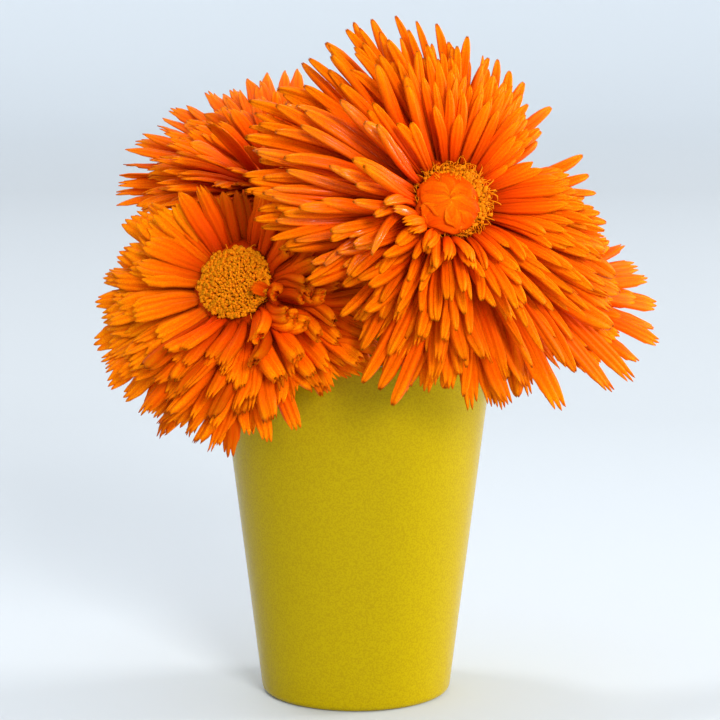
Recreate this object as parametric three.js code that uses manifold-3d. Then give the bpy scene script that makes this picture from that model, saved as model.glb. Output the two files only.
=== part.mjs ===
// Four calendula blooms in a plain tapered tumbler with water.
// Millimetres, +Z up. The origin is the middle of the tumbler's flat underside, and -Y is the front.
import * as THREE from 'three';
import { mergeVertices } from 'three/addons/utils/BufferGeometryUtils.js';
import Module from 'manifold-3d';

const wasm = await Module();
wasm.setup();

// Driving dimensions of the tumbler and what stands in it
const VASE_HEIGHT = 86;
const VASE_FOOT_RADIUS = 23.4;
const VASE_RIM_RADIUS = 34;
const VASE_WALL = 2.6;
const VASE_FLOOR = 4;
const FOOT_ROUNDING = 1.6;
const RIM_ROUNDING = 0.8;
const VASE_SIDES = 36;
const WATER_LEVEL = 64;
const WATER_SIDES = 18;
const GAP = 0.3;

// Driving dimensions of a flower head, measured along and across its own axis
const DISC_RADIUS = 8.5;
const DISC_CROWN = 2.8;
const DISC_SIDES = 14;
const DISC_FLORETS = 24;
const FLORET_RADIUS = 0.9;
const FLORET_HEIGHT = 1.1;
const CORE_TOP_RADIUS = 9.3;
const CORE_WIDEST_RADIUS = 12.8;
const CORE_WIDEST_DROP = 3.4;
const CORE_BOTTOM_RADIUS = 10.8;
const CORE_DROP = 8;
const CORE_SIDES = 14;
const CUP_DEPTH = 6;
const CUP_NECK_RADIUS = 3.2;
const STEM_RADIUS = 2.1;
const STEM_SIDES = 8;
const STEM_STEPS = 9;
const STEM_UPRIGHT = 12;
const BRACTS = 12;
const BRACT_LENGTH = 11;
const BRACT_WIDTH = 3;
const BRACT_THICKNESS = 0.9;
const BRACT_PITCH = -12;
const BRACT_BEND = -22;

// Driving dimensions of the petals
const GOLDEN_ANGLE = 137.508;
const ROOT_SUNK = 2;
const INNER_ROOT_RADIUS = 10.9;
const OUTER_ROOT_RADIUS = 12.4;
const INNER_ROOT_DROP = 1.1;
const OUTER_ROOT_DROP = 6.2;
const INNER_TIP_RADIUS = 13.5;
const TIP_SPREAD = 0.62;
const PITCH_SPREAD = 0.6;
const QUILL_ROOT = 0.35;
const QUILL_WIDEST_AT = 0.64;
const QUILL_CREST = 0.45;
const LIGULE_ROOT = 0.25;
const LIGULE_WIDEST_AT = 0.6;
const LIGULE_THICKNESS = 1.2;
const FOLDED_PETAL = { setIn: 1, length: 13, pitch: 62, bend: 118, width: 3.6, firstClock: 14 };

// How far petals stray from the rule: in clock angle and slope, in degrees, and in reach and width
const CLOCK_STRAY = 9;
const PITCH_STRAY = 8;
const REACH_STRAY = [0.95, 1.04];
const WIDTH_STRAY = [0.9, 1.1];
const STRAY_STRIDES = { clock: 0.7549, pitch: 0.5698, reach: 0.618 };
const PETAL_CLEARANCE = 1.1;
const CLEARING_STEP = 6;
const CLEARING_STEPS = 24;
const STEEPEST_PITCH = 84;
const SHORTER = 0.97;

// Where two blooms touch, they press on one another along a plane
const large_and_left = { at: [-13, -48, 112], toward: [0.35, -0.85, 0.38] };
const large_and_back = { at: [-8, -27, 130], toward: [0.35, -0.93, 0] };
const large_and_side = { at: [45, -24, 105], toward: [0.1, -0.99, 0.1] };
const back_and_left = { at: [-22, -18.5, 114], toward: [0, 0.75, 0.66] };
const back_and_side = { at: [22, 5, 118], toward: [-0.9, 0, 0.43] };
const side_and_rim = { at: [34.6, 4, 86], toward: [0.75, 0, 0.66] };
const turned = (plane) => ({ at: plane.at, toward: plane.toward.map((part) => -part) });

// The blooms, each placed by the centre of its disc and the way that it faces.
// reach is the outline's radius at every 30 degrees round the head, clockwise from its top.
// pitch is the slope of the innermost and outermost petals, and bend how much they curve over their length.
// ligules are the flat three-toothed petals: their share of the whorls, their sector and their width.
// neck is where the stem passes the rim, and foot where it stands on the tumbler's floor.
const BLOOMS = [
  {
    name: 'large',
    centre: [22, -50, 126],
    facing: [0.22, -0.92, 0.33],
    petals: 146,
    folded: 6,
    quill: 3.8,
    reach: [47, 37, 33, 38, 53, 56, 48, 44, 41, 50, 53, 55],
    pitch: [58, -6],
    bend: [-20, -18],
    ligules: { share: 0.14, from: 100, to: 180, width: 7 },
    neck: [13, -20, 84],
    foot: [6, -9],
    planes: [large_and_left, large_and_back, large_and_side],
  },
  {
    name: 'left',
    centre: [-27.5, -38, 106],
    facing: [-0.28, -0.87, 0.4],
    petals: 100,
    folded: 0,
    quill: 3.8,
    reach: [28, 27, 26, 32, 37, 38, 43, 45, 44, 42, 36, 30],
    pitch: [40, -4],
    bend: [-14, -14],
    ligules: { share: 0.32, from: 200, to: 320, width: 5.4 },
    neck: [-16, -19, 84],
    foot: [-8, -9],
    planes: [turned(large_and_left), turned(back_and_left)],
  },
  {
    name: 'back',
    centre: [-18, -4, 131],
    facing: [-0.22, -0.5, 0.84],
    petals: 84,
    folded: 0,
    quill: 4,
    reach: [46, 41, 37, 36, 34, 34, 34, 38, 43, 46, 47, 47],
    pitch: [46, 10],
    bend: [-16, -12],
    ligules: { share: 0.3, from: 0, to: 360, width: 5.2 },
    neck: [-9, 6, 84],
    foot: [-5, 5],
    planes: [turned(large_and_back), back_and_left, back_and_side],
  },
  {
    name: 'side',
    centre: [46, 3, 103],
    facing: [0.45, -0.65, 0.6],
    petals: 70,
    folded: 0,
    quill: 3.8,
    reach: [33, 37, 40, 38, 36, 35, 33, 30, 29, 28, 28, 29],
    pitch: [44, 2],
    bend: [-16, -12],
    ligules: { share: 0.34, from: 0, to: 360, width: 5.2 },
    neck: [21, 9.5, 84],
    foot: [10, 5],
    planes: [turned(large_and_side), turned(back_and_side), side_and_rim],
  },
];

// Finishes
const finish = (name, colour, roughness) => {
  const material = new THREE.MeshStandardMaterial({ color: colour, roughness, metalness: 0 });
  material.name = name;
  return material;
};
const yellowGlaze = finish('yellow glaze', 0xc2a61a, 0.4);
const orangePetal = finish('orange petal', 0xf5690a, 0.55);
const goldenFloret = finish('golden floret', 0xd27a0c, 0.7);
const greenStem = finish('green stem', 0x6f8a3a, 0.6);
const clearWater = finish('water', 0xcfe3ea, 0.1);

// Small helpers for numbers and angles
const radians = THREE.MathUtils.degToRad;
const mix = THREE.MathUtils.lerp;
const scatter = (index, stride) => (index * stride) % 1;
const fromTo = (range, share) => mix(range[0], range[1], share);

// A solid from a closed three.js geometry, and from plain corners and triangles
function solidFromGeometry(geometry) {
  const bare = geometry.clone();
  bare.deleteAttribute('normal');
  bare.deleteAttribute('uv');
  const merged = mergeVertices(bare, 1e-4);
  return solidFromCorners(merged.attributes.position.array, merged.index.array);
}

function solidFromCorners(corners, triangles) {
  return new wasm.Manifold(new wasm.Mesh({
    numProp: 3, vertProperties: Float32Array.from(corners), triVerts: Uint32Array.from(triangles),
  }));
}

// One body: loose scraps are dropped and sealed hollows are filled
function wholeBody(solid) {
  const bodies = solid.decompose();
  return bodies.reduce((largest, body) => (body.volume() > largest.volume() ? body : largest));
}

function namedMesh(name, solid, material) {
  const { vertProperties, triVerts } = solid.getMesh();
  const geometry = new THREE.BufferGeometry();
  geometry.setAttribute('position', new THREE.BufferAttribute(vertProperties, 3));
  geometry.setIndex(new THREE.BufferAttribute(triVerts, 1));
  geometry.computeVertexNormals();
  const mesh = new THREE.Mesh(geometry, material);
  mesh.name = name;
  return mesh;
}

// A turned solid round +Z from a profile of [radius, height] points
function turnedSolid(profile, sides) {
  const points = profile.map(([radius, height]) => new THREE.Vector2(radius, height));
  const lathe = new THREE.LatheGeometry(points, sides);
  lathe.rotateX(Math.PI / 2);
  return solidFromGeometry(lathe);
}

// The tumbler
const outerRadius = (height) => mix(VASE_FOOT_RADIUS, VASE_RIM_RADIUS, height / VASE_HEIGHT);
const innerRadius = (height) => outerRadius(height) - VASE_WALL;

function vaseSolid() {
  return turnedSolid([
    [0, 0],
    [VASE_FOOT_RADIUS - FOOT_ROUNDING, 0],
    [VASE_FOOT_RADIUS - 0.3 * FOOT_ROUNDING, 0.3 * FOOT_ROUNDING],
    [outerRadius(FOOT_ROUNDING), FOOT_ROUNDING],
    [outerRadius(VASE_HEIGHT - RIM_ROUNDING), VASE_HEIGHT - RIM_ROUNDING],
    [VASE_RIM_RADIUS - RIM_ROUNDING, VASE_HEIGHT],
    [innerRadius(VASE_HEIGHT) + RIM_ROUNDING, VASE_HEIGHT],
    [innerRadius(VASE_HEIGHT - RIM_ROUNDING), VASE_HEIGHT - RIM_ROUNDING],
    [innerRadius(VASE_FLOOR), VASE_FLOOR],
    [0, VASE_FLOOR],
  ], VASE_SIDES);
}

// A flower head's own frame: its centre, the way that it faces, and its right and top seen from the front
function headFrame(bloom) {
  const front = new THREE.Vector3(...bloom.facing).normalize();
  const right = new THREE.Vector3(0, 0, 1).cross(front).normalize();
  const top = front.clone().cross(right);
  const centre = new THREE.Vector3(...bloom.centre);
  return new THREE.Matrix4().makeBasis(right, top, front).setPosition(centre);
}

// The stem's middle line, from the foot on the tumbler's floor up to the back of the head
function stemPath(bloom, frame) {
  const [footX, footY] = bloom.foot;
  const footHeight = VASE_FLOOR + GAP;
  const behind = (drop) => new THREE.Vector3(0, 0, -CORE_DROP - drop).applyMatrix4(frame);
  return new THREE.CatmullRomCurve3([
    new THREE.Vector3(footX, footY, footHeight),
    new THREE.Vector3(footX, footY, footHeight + STEM_UPRIGHT),
    new THREE.Vector3(...bloom.neck),
    behind(CUP_DEPTH + 5),
    behind(0.5 * CUP_DEPTH),
  ], false, 'centripetal');
}

function tubeSolid(path, radius) {
  const section = new THREE.Shape();
  section.absarc(0, 0, radius, 0, 2 * Math.PI);
  // an arc is divided twice for each of its curve segments
  const tube = new THREE.ExtrudeGeometry(section, {
    steps: STEM_STEPS, curveSegments: STEM_SIDES / 2, extrudePath: path,
  });
  return solidFromGeometry(tube);
}

// A blade is a row of flat rings, each a fixed number of corners, closed at the root and drawn to its tip
function bladeFromRings(rings, tipCorners, tipTriangles) {
  const size = rings[0].length;
  const corners = rings.flat().concat(tipCorners);
  const triangles = [];
  for (let side = 1; side < size - 1; side += 1) {
    triangles.push(0, side, side + 1);
  }
  for (let ring = 0; ring < rings.length - 1; ring += 1) {
    for (let side = 0; side < size; side += 1) {
      const here = ring * size + side;
      const next = ring * size + ((side + 1) % size);
      triangles.push(here, here + size, next, next, here + size, next + size);
    }
  }
  const lastRing = (rings.length - 1) * size;
  const tips = rings.length * size;
  for (const triangle of tipTriangles) {
    triangles.push(...triangle.map((corner) => (corner < size ? lastRing + corner : tips + corner - size)));
  }
  return solidFromCorners(corners.flatMap((corner) => corner.toArray()), triangles);
}

// A petal's middle line is an arc in the plane through the head's axis at its clock angle.
// pitch is the slope out of the head's plane, at the root and over the whole length.
function petalLine(petal) {
  const clock = radians(petal.clock);
  const outward = new THREE.Vector3(Math.sin(clock), Math.cos(clock), 0);
  const across = new THREE.Vector3(Math.cos(clock), -Math.sin(clock), 0);
  const start = radians(petal.pitch);
  const bend = radians(petal.bend);
  return (share) => {
    const pitch = start + bend * share;
    const radius = petal.rootRadius + petal.length * (Math.sin(pitch) - Math.sin(start)) / bend;
    const height = petal.rootHeight - petal.length * (Math.cos(pitch) - Math.cos(start)) / bend;
    const middle = outward.clone().multiplyScalar(radius).setZ(height);
    const along = outward.clone().multiplyScalar(Math.cos(pitch)).setZ(Math.sin(pitch));
    return { middle, across, along, face: across.clone().cross(along) };
  };
}

// The reach of the bloom's outline at a clock angle, between its measured points
function reachAt(bloom, clock) {
  const step = 360 / bloom.reach.length;
  const place = (((clock % 360) + 360) % 360) / step;
  const first = Math.floor(place);
  const second = (first + 1) % bloom.reach.length;
  return mix(bloom.reach[first], bloom.reach[second], place - first);
}

function isClear(bloom, frame, petal) {
  const line = petalLine(petal);
  return [0.4, 0.7, 1].every((share) => {
    const point = line(share).middle.applyMatrix4(frame);
    return bloom.planes.every((plane) => {
      const toward = new THREE.Vector3(...plane.toward).normalize();
      return point.clone().sub(new THREE.Vector3(...plane.at)).dot(toward) > PETAL_CLEARANCE;
    });
  });
}

// A petal that would reach into the next bloom stands up more steeply and is a little shorter
function bentClear(bloom, frame, petal) {
  const clear = { ...petal };
  for (let step = 0; step < CLEARING_STEPS && !isClear(bloom, frame, clear); step += 1) {
    clear.pitch = Math.min(clear.pitch + CLEARING_STEP, STEEPEST_PITCH);
    clear.length *= SHORTER;
  }
  return clear;
}

// The petals stand in a golden-angle spiral, from the shortest round the disc to the longest outside
function petalRule(bloom, index) {
  const share = (index + 0.5) / bloom.petals;
  const clock = (index * GOLDEN_ANGLE + CLOCK_STRAY * (scatter(index, STRAY_STRIDES.clock) - 0.5)) % 360;
  const rootRadius = mix(INNER_ROOT_RADIUS, OUTER_ROOT_RADIUS, share) - ROOT_SUNK;
  const tipRadius = mix(INNER_TIP_RADIUS, reachAt(bloom, clock), share ** TIP_SPREAD)
    * fromTo(REACH_STRAY, scatter(index, STRAY_STRIDES.reach));
  const pitch = fromTo(bloom.pitch, share ** PITCH_SPREAD)
    + PITCH_STRAY * (scatter(index, STRAY_STRIDES.pitch) - 0.5);
  const bend = fromTo(bloom.bend, share);
  const slopes = Math.sin(radians(pitch + bend)) - Math.sin(radians(pitch));
  const { ligules } = bloom;
  const isLigule = share > 1 - ligules.share && clock >= ligules.from && clock <= ligules.to;
  const widthStray = fromTo(WIDTH_STRAY, scatter(index, STRAY_STRIDES.reach));
  return {
    clock,
    rootRadius,
    rootHeight: -mix(INNER_ROOT_DROP, OUTER_ROOT_DROP, share),
    length: (tipRadius - rootRadius) * radians(bend) / slopes,
    pitch,
    bend,
    isLigule,
    width: isLigule ? ligules.width : bloom.quill * mix(0.8, 1, share) * widthStray,
  };
}

// The short petals of the innermost whorl that fold over the disc
function foldedRule(bloom, index) {
  const { setIn, length, pitch, bend, width, firstClock } = FOLDED_PETAL;
  return {
    clock: (index * 360) / bloom.folded + firstClock,
    rootRadius: INNER_ROOT_RADIUS - setIn,
    rootHeight: -INNER_ROOT_DROP,
    length,
    pitch,
    bend,
    isLigule: false,
    width,
  };
}

// A pointed blade of three-cornered rings, with its crest to the front
function pointedBlade(petal, shares, widths, crestHeight) {
  const line = petalLine(petal);
  const rings = shares.map((share, ring) => {
    const { middle, across, face } = line(share);
    const side = across.clone().multiplyScalar(0.5 * widths[ring] * petal.width);
    const crest = middle.clone().addScaledVector(face, crestHeight(widths[ring]));
    return [middle.clone().sub(side), middle.clone().add(side), crest];
  });
  return bladeFromRings(rings, [line(1).middle], [[1, 0, 3], [2, 1, 3], [0, 2, 3]]);
}

function quill(petal) {
  const crestHeight = (width) => QUILL_CREST * width * petal.width;
  return pointedBlade(petal, [0, QUILL_WIDEST_AT], [QUILL_ROOT, 1], crestHeight);
}

// A flat petal: a lens-shaped blade that widens to three teeth
function ligule(petal) {
  const line = petalLine(petal);
  const at = (share, sideways, lift) => {
    const { middle, across, face } = line(share);
    return middle.clone().addScaledVector(across, sideways * petal.width).addScaledVector(face, lift);
  };
  const ring = (share, width) => [
    at(share, -0.5 * width, 0),
    at(share, 0, -0.5 * LIGULE_THICKNESS),
    at(share, 0.5 * width, 0),
    at(share, 0, 0.5 * LIGULE_THICKNESS),
  ];
  const rings = [ring(0, LIGULE_ROOT), ring(LIGULE_WIDEST_AT, 1)];
  const teeth = [at(0.96, -0.4, 0), at(0.93, -0.2, 0), at(1, 0, 0), at(0.93, 0.2, 0), at(0.96, 0.4, 0)];
  const front = [[3, 4, 0], [3, 5, 4], [3, 6, 5], [3, 7, 6], [3, 8, 7], [3, 2, 8]];
  const back = [[1, 0, 4], [1, 4, 5], [1, 5, 6], [1, 6, 7], [1, 7, 8], [1, 8, 2]];
  return bladeFromRings(rings, teeth, front.concat(back));
}

function petalsSolid(bloom, frame) {
  const core = turnedSolid([
    [0, -CORE_DROP],
    [CORE_BOTTOM_RADIUS, -CORE_DROP],
    [CORE_WIDEST_RADIUS, -CORE_WIDEST_DROP],
    [CORE_TOP_RADIUS, 0],
    [0, 0],
  ], CORE_SIDES);
  const petals = Array.from({ length: bloom.petals }, (_, index) => petalRule(bloom, index));
  const folded = Array.from({ length: bloom.folded }, (_, index) => foldedRule(bloom, index));
  const blades = petals.map((petal) => bentClear(bloom, frame, petal)).concat(folded)
    .map((petal) => (petal.isLigule ? ligule(petal) : quill(petal)));
  return wholeBody(wasm.Manifold.union([core, ...blades])).transform(frame.elements);
}

// The disc: a low crown with its tube florets standing out of it as blunt relief
function discSolid(frame) {
  const crownHeight = (radius) => GAP + DISC_CROWN * Math.sqrt(1 - 0.8 * (radius / DISC_RADIUS) ** 2);
  const crown = turnedSolid([
    [0, GAP],
    [DISC_RADIUS, GAP],
    [DISC_RADIUS, crownHeight(DISC_RADIUS)],
    [0.6 * DISC_RADIUS, crownHeight(0.6 * DISC_RADIUS)],
    [0, crownHeight(0)],
  ], DISC_SIDES);
  const florets = Array.from({ length: DISC_FLORETS }, (_, index) => {
    const radius = (DISC_RADIUS - FLORET_RADIUS) * Math.sqrt((index + 0.5) / DISC_FLORETS);
    const floret = new THREE.ConeGeometry(FLORET_RADIUS, 2 * FLORET_HEIGHT, 4);
    floret.rotateX(Math.PI / 2);
    floret.translate(radius, 0, crownHeight(radius) + 0.2 * FLORET_HEIGHT);
    floret.rotateZ(radians(index * GOLDEN_ANGLE));
    return solidFromGeometry(floret);
  });
  return wholeBody(wasm.Manifold.union([crown, ...florets])).transform(frame.elements);
}

// The green part: the stem, the calyx cup under the petals, and a ring of narrow bracts
function stemSolid(bloom, frame) {
  const top = -CORE_DROP - GAP;
  const cup = turnedSolid([
    [0, top - CUP_DEPTH],
    [CUP_NECK_RADIUS, top - CUP_DEPTH],
    [0.8 * CORE_BOTTOM_RADIUS, top - 0.6 * CUP_DEPTH],
    [CORE_BOTTOM_RADIUS, top],
    [0, top],
  ], CORE_SIDES);
  const bracts = Array.from({ length: BRACTS }, (_, index) => bractBlade(index, top));
  const head = wasm.Manifold.union([cup, ...bracts]).transform(frame.elements);
  return wholeBody(head.add(tubeSolid(stemPath(bloom, frame), STEM_RADIUS)));
}

function bractBlade(index, top) {
  const bract = {
    clock: (index * 360) / BRACTS,
    rootRadius: 0.7 * CORE_BOTTOM_RADIUS,
    rootHeight: top - 0.35 * CUP_DEPTH,
    length: BRACT_LENGTH,
    pitch: BRACT_PITCH,
    bend: BRACT_BEND,
    width: BRACT_WIDTH,
  };
  return pointedBlade(bract, [0, 0.6], [1, 0.8], () => BRACT_THICKNESS);
}

// The water fills the tumbler to its level, with a plain hole for each stem
function waterSolid() {
  const fill = (height) => innerRadius(height) * Math.cos(Math.PI / VASE_SIDES) - GAP;
  const body = turnedSolid([
    [0, VASE_FLOOR + GAP],
    [fill(VASE_FLOOR), VASE_FLOOR + GAP],
    [fill(WATER_LEVEL), WATER_LEVEL],
    [0, WATER_LEVEL],
  ], WATER_SIDES);
  const holeRadius = (STEM_RADIUS + GAP) / Math.cos(Math.PI / STEM_SIDES);
  const holes = BLOOMS.flatMap((bloom) => {
    const mouth = new THREE.CylinderGeometry(holeRadius, holeRadius, STEM_UPRIGHT, STEM_SIDES);
    mouth.rotateX(Math.PI / 2);
    mouth.translate(bloom.foot[0], bloom.foot[1], VASE_FLOOR);
    return [tubeSolid(stemPath(bloom, headFrame(bloom)), STEM_RADIUS + GAP), solidFromGeometry(mouth)];
  });
  return wholeBody(body.subtract(wasm.Manifold.union(holes)));
}

const bouquet = new THREE.Group();
bouquet.add(namedMesh('vase', vaseSolid(), yellowGlaze));
bouquet.add(namedMesh('water', waterSolid(), clearWater));
for (const bloom of BLOOMS) {
  const frame = headFrame(bloom);
  bouquet.add(namedMesh(`${bloom.name}_petals`, petalsSolid(bloom, frame), orangePetal));
  bouquet.add(namedMesh(`${bloom.name}_disc`, discSolid(frame), goldenFloret));
  bouquet.add(namedMesh(`${bloom.name}_stem`, stemSolid(bloom, frame), greenStem));
}

export default bouquet;
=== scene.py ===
"""Four orange calendula blooms in a plain yellow tumbler of water, dressed for a studio picture.

Metres, +Z up, -Y to the front. MM turns millimetres into metres. Angles are in degrees.
A clock angle runs clockwise round a flower head from its top, as seen from its front.
"""
import math
import random

import bmesh
import bpy
from mathutils import Matrix, Vector


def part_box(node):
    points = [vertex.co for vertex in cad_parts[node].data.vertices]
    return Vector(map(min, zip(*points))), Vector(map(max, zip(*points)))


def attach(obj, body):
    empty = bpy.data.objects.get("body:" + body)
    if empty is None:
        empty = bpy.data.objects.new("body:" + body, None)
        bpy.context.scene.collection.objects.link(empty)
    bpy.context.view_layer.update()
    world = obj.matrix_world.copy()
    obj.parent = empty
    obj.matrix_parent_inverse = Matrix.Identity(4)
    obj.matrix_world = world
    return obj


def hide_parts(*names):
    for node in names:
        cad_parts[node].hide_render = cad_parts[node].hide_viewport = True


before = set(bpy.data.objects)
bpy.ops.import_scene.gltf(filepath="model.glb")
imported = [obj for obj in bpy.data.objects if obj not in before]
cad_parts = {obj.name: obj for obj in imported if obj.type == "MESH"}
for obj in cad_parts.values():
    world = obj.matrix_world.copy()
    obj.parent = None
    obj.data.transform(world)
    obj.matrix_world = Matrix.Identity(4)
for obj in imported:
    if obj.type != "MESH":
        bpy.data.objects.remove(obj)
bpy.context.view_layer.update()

MM = 0.001
PHOTO_WIDTH = 720

# The camera stands where the photograph was taken from
CAMERA_AIM = Vector((1, 0, 83)) * MM
CAMERA_DISTANCE = 600 * MM
CAMERA_SLOPE = 8
CAMERA_LENS = 121.5
SENSOR_WIDTH = 36

# The tumbler and the water in it. The water's rings are heights up its wall in millimetres, and it climbs
# where it meets the wall: (how far in from the wall, how far above its level), in millimetres.
VASE_FOOT_RADIUS = 23.4 * MM
VASE_RIM_RADIUS = 34 * MM
VASE_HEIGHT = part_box("vase")[1].z
VASE_WALL = 2.6 * MM
VASE_FLOOR = 4 * MM
VASE_WALL_STEPS = 12
LIP_ROUNDING = 0.48 * VASE_WALL
HOLLOW_RADIUS = 0.8 * VASE_FOOT_RADIUS
HOLLOW_DEPTH = 0.6 * MM
FOOT_ROUNDING = 1.8 * MM
FLOOR_ROUNDING = 3 * MM
WATER_LEVEL = 64 * MM
WATER_GAP = 0.05 * MM
WATER_SHOULDER = 2.5 * MM
WATER_RINGS = (12, 28, 46)
WATER_CLIMB = ((0, 0.6), (0.4, 0.25), (1.6, 0))
VASE_SIDES = 144
WATER_SIDES = 96

# A flower head, measured along and across its own axis
DISC_RADIUS = 8.5 * MM
FLORETS_RADIUS = 8 * MM
CROWN_HEIGHT = 0.98 * MM
CROWN_FALL = 0.8
CROWN_STEPS = 6
CROWN_MARGIN = 0.2 * MM
BELOW_CROWN = 0.3 * MM
CORE_TOP_RADIUS = 9.3 * MM
CORE_TOP_DROP = 0.4 * MM
CORE_WIDEST_RADIUS = 12.4 * MM
CORE_WIDEST_DROP = 3.4 * MM
CORE_BOTTOM_RADIUS = 10.6 * MM
CORE_DROP = 8 * MM
HEAD_SIDES = 48

# A disc's shapes are a curled style, two open florets and one unopened. The pick among them, by number, falls
# from the middle to the rim by PICK_FALL and varies by PICK_VARIES. Open florets give the radii of the throat
# and of the lobes' ends, the height of those and how far the throat lies under them, in floret heights.
FLORET_SIZES = ((0.18, 0.34, 0.95, 0.12), (0.16, 0.3, 1.08, 0.2), (0.2, 0.22, 0.75, 0.1))
FLORET_LOBES = 5
SMALLEST_FLORET = 0.65
LARGEST_FLORET = 1.3
LEAN_OUTWARD = 0.8
PICK_AT_MIDDLE = 2.5
PICK_FALL = 2.2
PICK_VARIES = 1.8
STYLE_RADII = (0.09, 0.06)
STYLE_TONES = (0.75, 1)
STYLE_CURL = 3.4
STYLE_CURL_RADIUS = 0.8
STYLE_RISE = 1.4

# The green parts: a cup under each head, its bracts and the stem, with short hairs
CUP_TOP = 0.4 * MM - CORE_DROP
CUP_DEPTH = 6 * MM
CUP_FOOT_DEPTH = 1 * MM
CUP_MARGIN = 0.6 * MM
CUP_FULLNESS = 0.8
CUP_STEPS = 8
CUP_NECK_RADIUS = 3 * MM
CUP_RIBS = 16
CUP_RIB_DEPTH = 0.03
STEM_RADIUS = 2.1 * MM
STEM_UPRIGHT = 12 * MM
STEM_FOOT = 4.3 * MM
STEM_STRAIGHT = 5 * MM
STEM_STEPS = 10
BRACTS_IN_RING = 14
BRACT_ROOT_RADIUS = 7.6 * MM
BRACT_COLUMNS = 4
BRACT_ROWS = (0, 0.2, 0.4, 0.6, 0.78, 0.9, 0.96, 1)
BRACT_WIDTHS = (1, 1, 0.95, 0.82, 0.6, 0.38, 0.2, 0.06)
BRACT_FOLDS = (60, 60, 62, 66, 70, 76, 80, 84)
BRACT_THICKNESS = 0.2
BRACT_CRINKLE = 0.2 * MM
HAIRS_PER_SQUARE_METRE = 9e5
HAIR_LENGTH = 0.6 * MM

# What a bract's numbers are drawn from, with its length, width and drop in millimetres. The second ring sits
# higher by BRACT_RING_RISE and lies flatter by BRACT_RING_FALL.
BRACT_CLOCK = (-4, 4)
BRACT_LENGTH = (11, 14)
BRACT_PITCH = (2, 12)
BRACT_BEND = (-20, -6)
BRACT_CURL = (-20, 10)
BRACT_SWAY = (-0.06, 0.06)
BRACT_WIDTH = (2.4, 3)
BRACT_DROP = 2.6
BRACT_RING_RISE = 0.5
BRACT_RING_FALL = 6

# Petals stand in a golden-angle spiral, from the shortest round the disc to the longest outside
GOLDEN_ANGLE = 137.508
ROOT_SUNK = 2 * MM
INNER_ROOT_RADIUS = 9.9 * MM
OUTER_ROOT_RADIUS = 12.4 * MM
INNER_ROOT_DROP = 0.6 * MM
OUTER_ROOT_DROP = 6.2 * MM
INNERMOST_WIDTH = 0.86
TIP_SPREAD = 0.62
PITCH_SPREAD = 0.6
CURL_STARTS = 0.7
CRINKLE_DETAIL = 180.0
BRACT_CRINKLE_DETAIL = 300.0

# How petals stray from the rule. Sway is in petal lengths. Width and curl are shares of what the rule gives.
CLOCK_STRAY = 5
PITCH_STRAY = 6
ROLL_STRAY = 24
SWAY_STRAY = 0.05
WIDTH_STRAY = (0.8, 1.16)
CURL_STRAY = (0.2, 1.8)

# Petals that shine stand within this share of the way out, and sway up to this much more
GLOSSY_SHARE = 0.85
GLOSSY_SWAY = 2.5

# A petal that would reach into the next bloom is turned and shortened step by step, until it is clear at
# these shares of its length
PETAL_CLEARANCE = 0.6 * MM
CLEAR_SHARES = (0.4, 0.7, 1)
CLEARING_TURN = 5
CLEARING_STEPS = 26
SHORTER = 0.97
STEEPEST_PITCH = 84
LOWEST_PITCH = -34

# A petal that is aimed at a place in the photograph: its share of the way out, its most reach in radii of the
# outline, and its share of the usual curl
AIMED_SHARES = (0.86, 0.98)
AIMED_REACH = 1.4
AIMED_CURL = 0.3
AIMING_ROUNDS = 4

# Small petals that lean in over a disc
LEANING_BEND = 30
LEANING_SWAY = 0.1

# Petal shapes. Their measure is the petal's own: across in widths, along in lengths, thick in widths.
# A rolled petal's section gives the place aside in half widths, the lift in depths in front and in widths
# behind, and U. Its variants give the depth, the hook of the tip, the bow aside and the side that laps over.
# Its mouth is a share of the tip's width, the V that its throat ends in, and how uneven its edge is. A low V
# paints the dark root colour in an open throat, as shade.
# U is 1 in the valley of the lapping seam, where the petal finish paints its rim highlight and shade
ROLLED_SECTION = (
    (-1, 0, 0.02), (-0.84, 0.62, 0.1), (-0.5, 0.92, 0.28), (-0.14, 0.82, 0.46),
    (0.06, 0.62, 1), (0.15, 1.04, 0.6), (0.5, 1.1, 0.78), (0.84, 0.7, 0.92),
    (1, 0, 0.98), (0.6, -0.12, 0.8), (0, -0.01, 0.5), (-0.6, -0.12, 0.2),
)
ROLLED_VARIANTS = ((0.38, 0, 0.1, 1), (0.42, 0.14, -0.3, -1), (0.3, -0.12, 0.35, 1), (0.36, 0.06, -0.15, -1))
ROLLED_ROWS = (0, 0.15, 0.32, 0.5, 0.66, 0.79, 0.88, 0.94, 0.98, 1)
ROLL_SWING = 0.2
TIP_POWER = 6
MOUTH_DEPTH = 0.3
THROAT_NARROWS = 0.7
QUILL_MOUTH = (0.26, 0.75, 0.006)
TUBE_MOUTH = (0.5, 0.2, 0.03)
TUBE_HOOKS = 2
QUILL_WIDTHS = (0.5, 0.66, 0.8, 0.92, 1, 0.98, 0.86, 0.68, 0.46, 0.22)
TUBE_WIDTHS = (0.42, 0.55, 0.7, 0.85, 0.96, 1, 0.97, 0.88, 0.76, 0.6)

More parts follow.
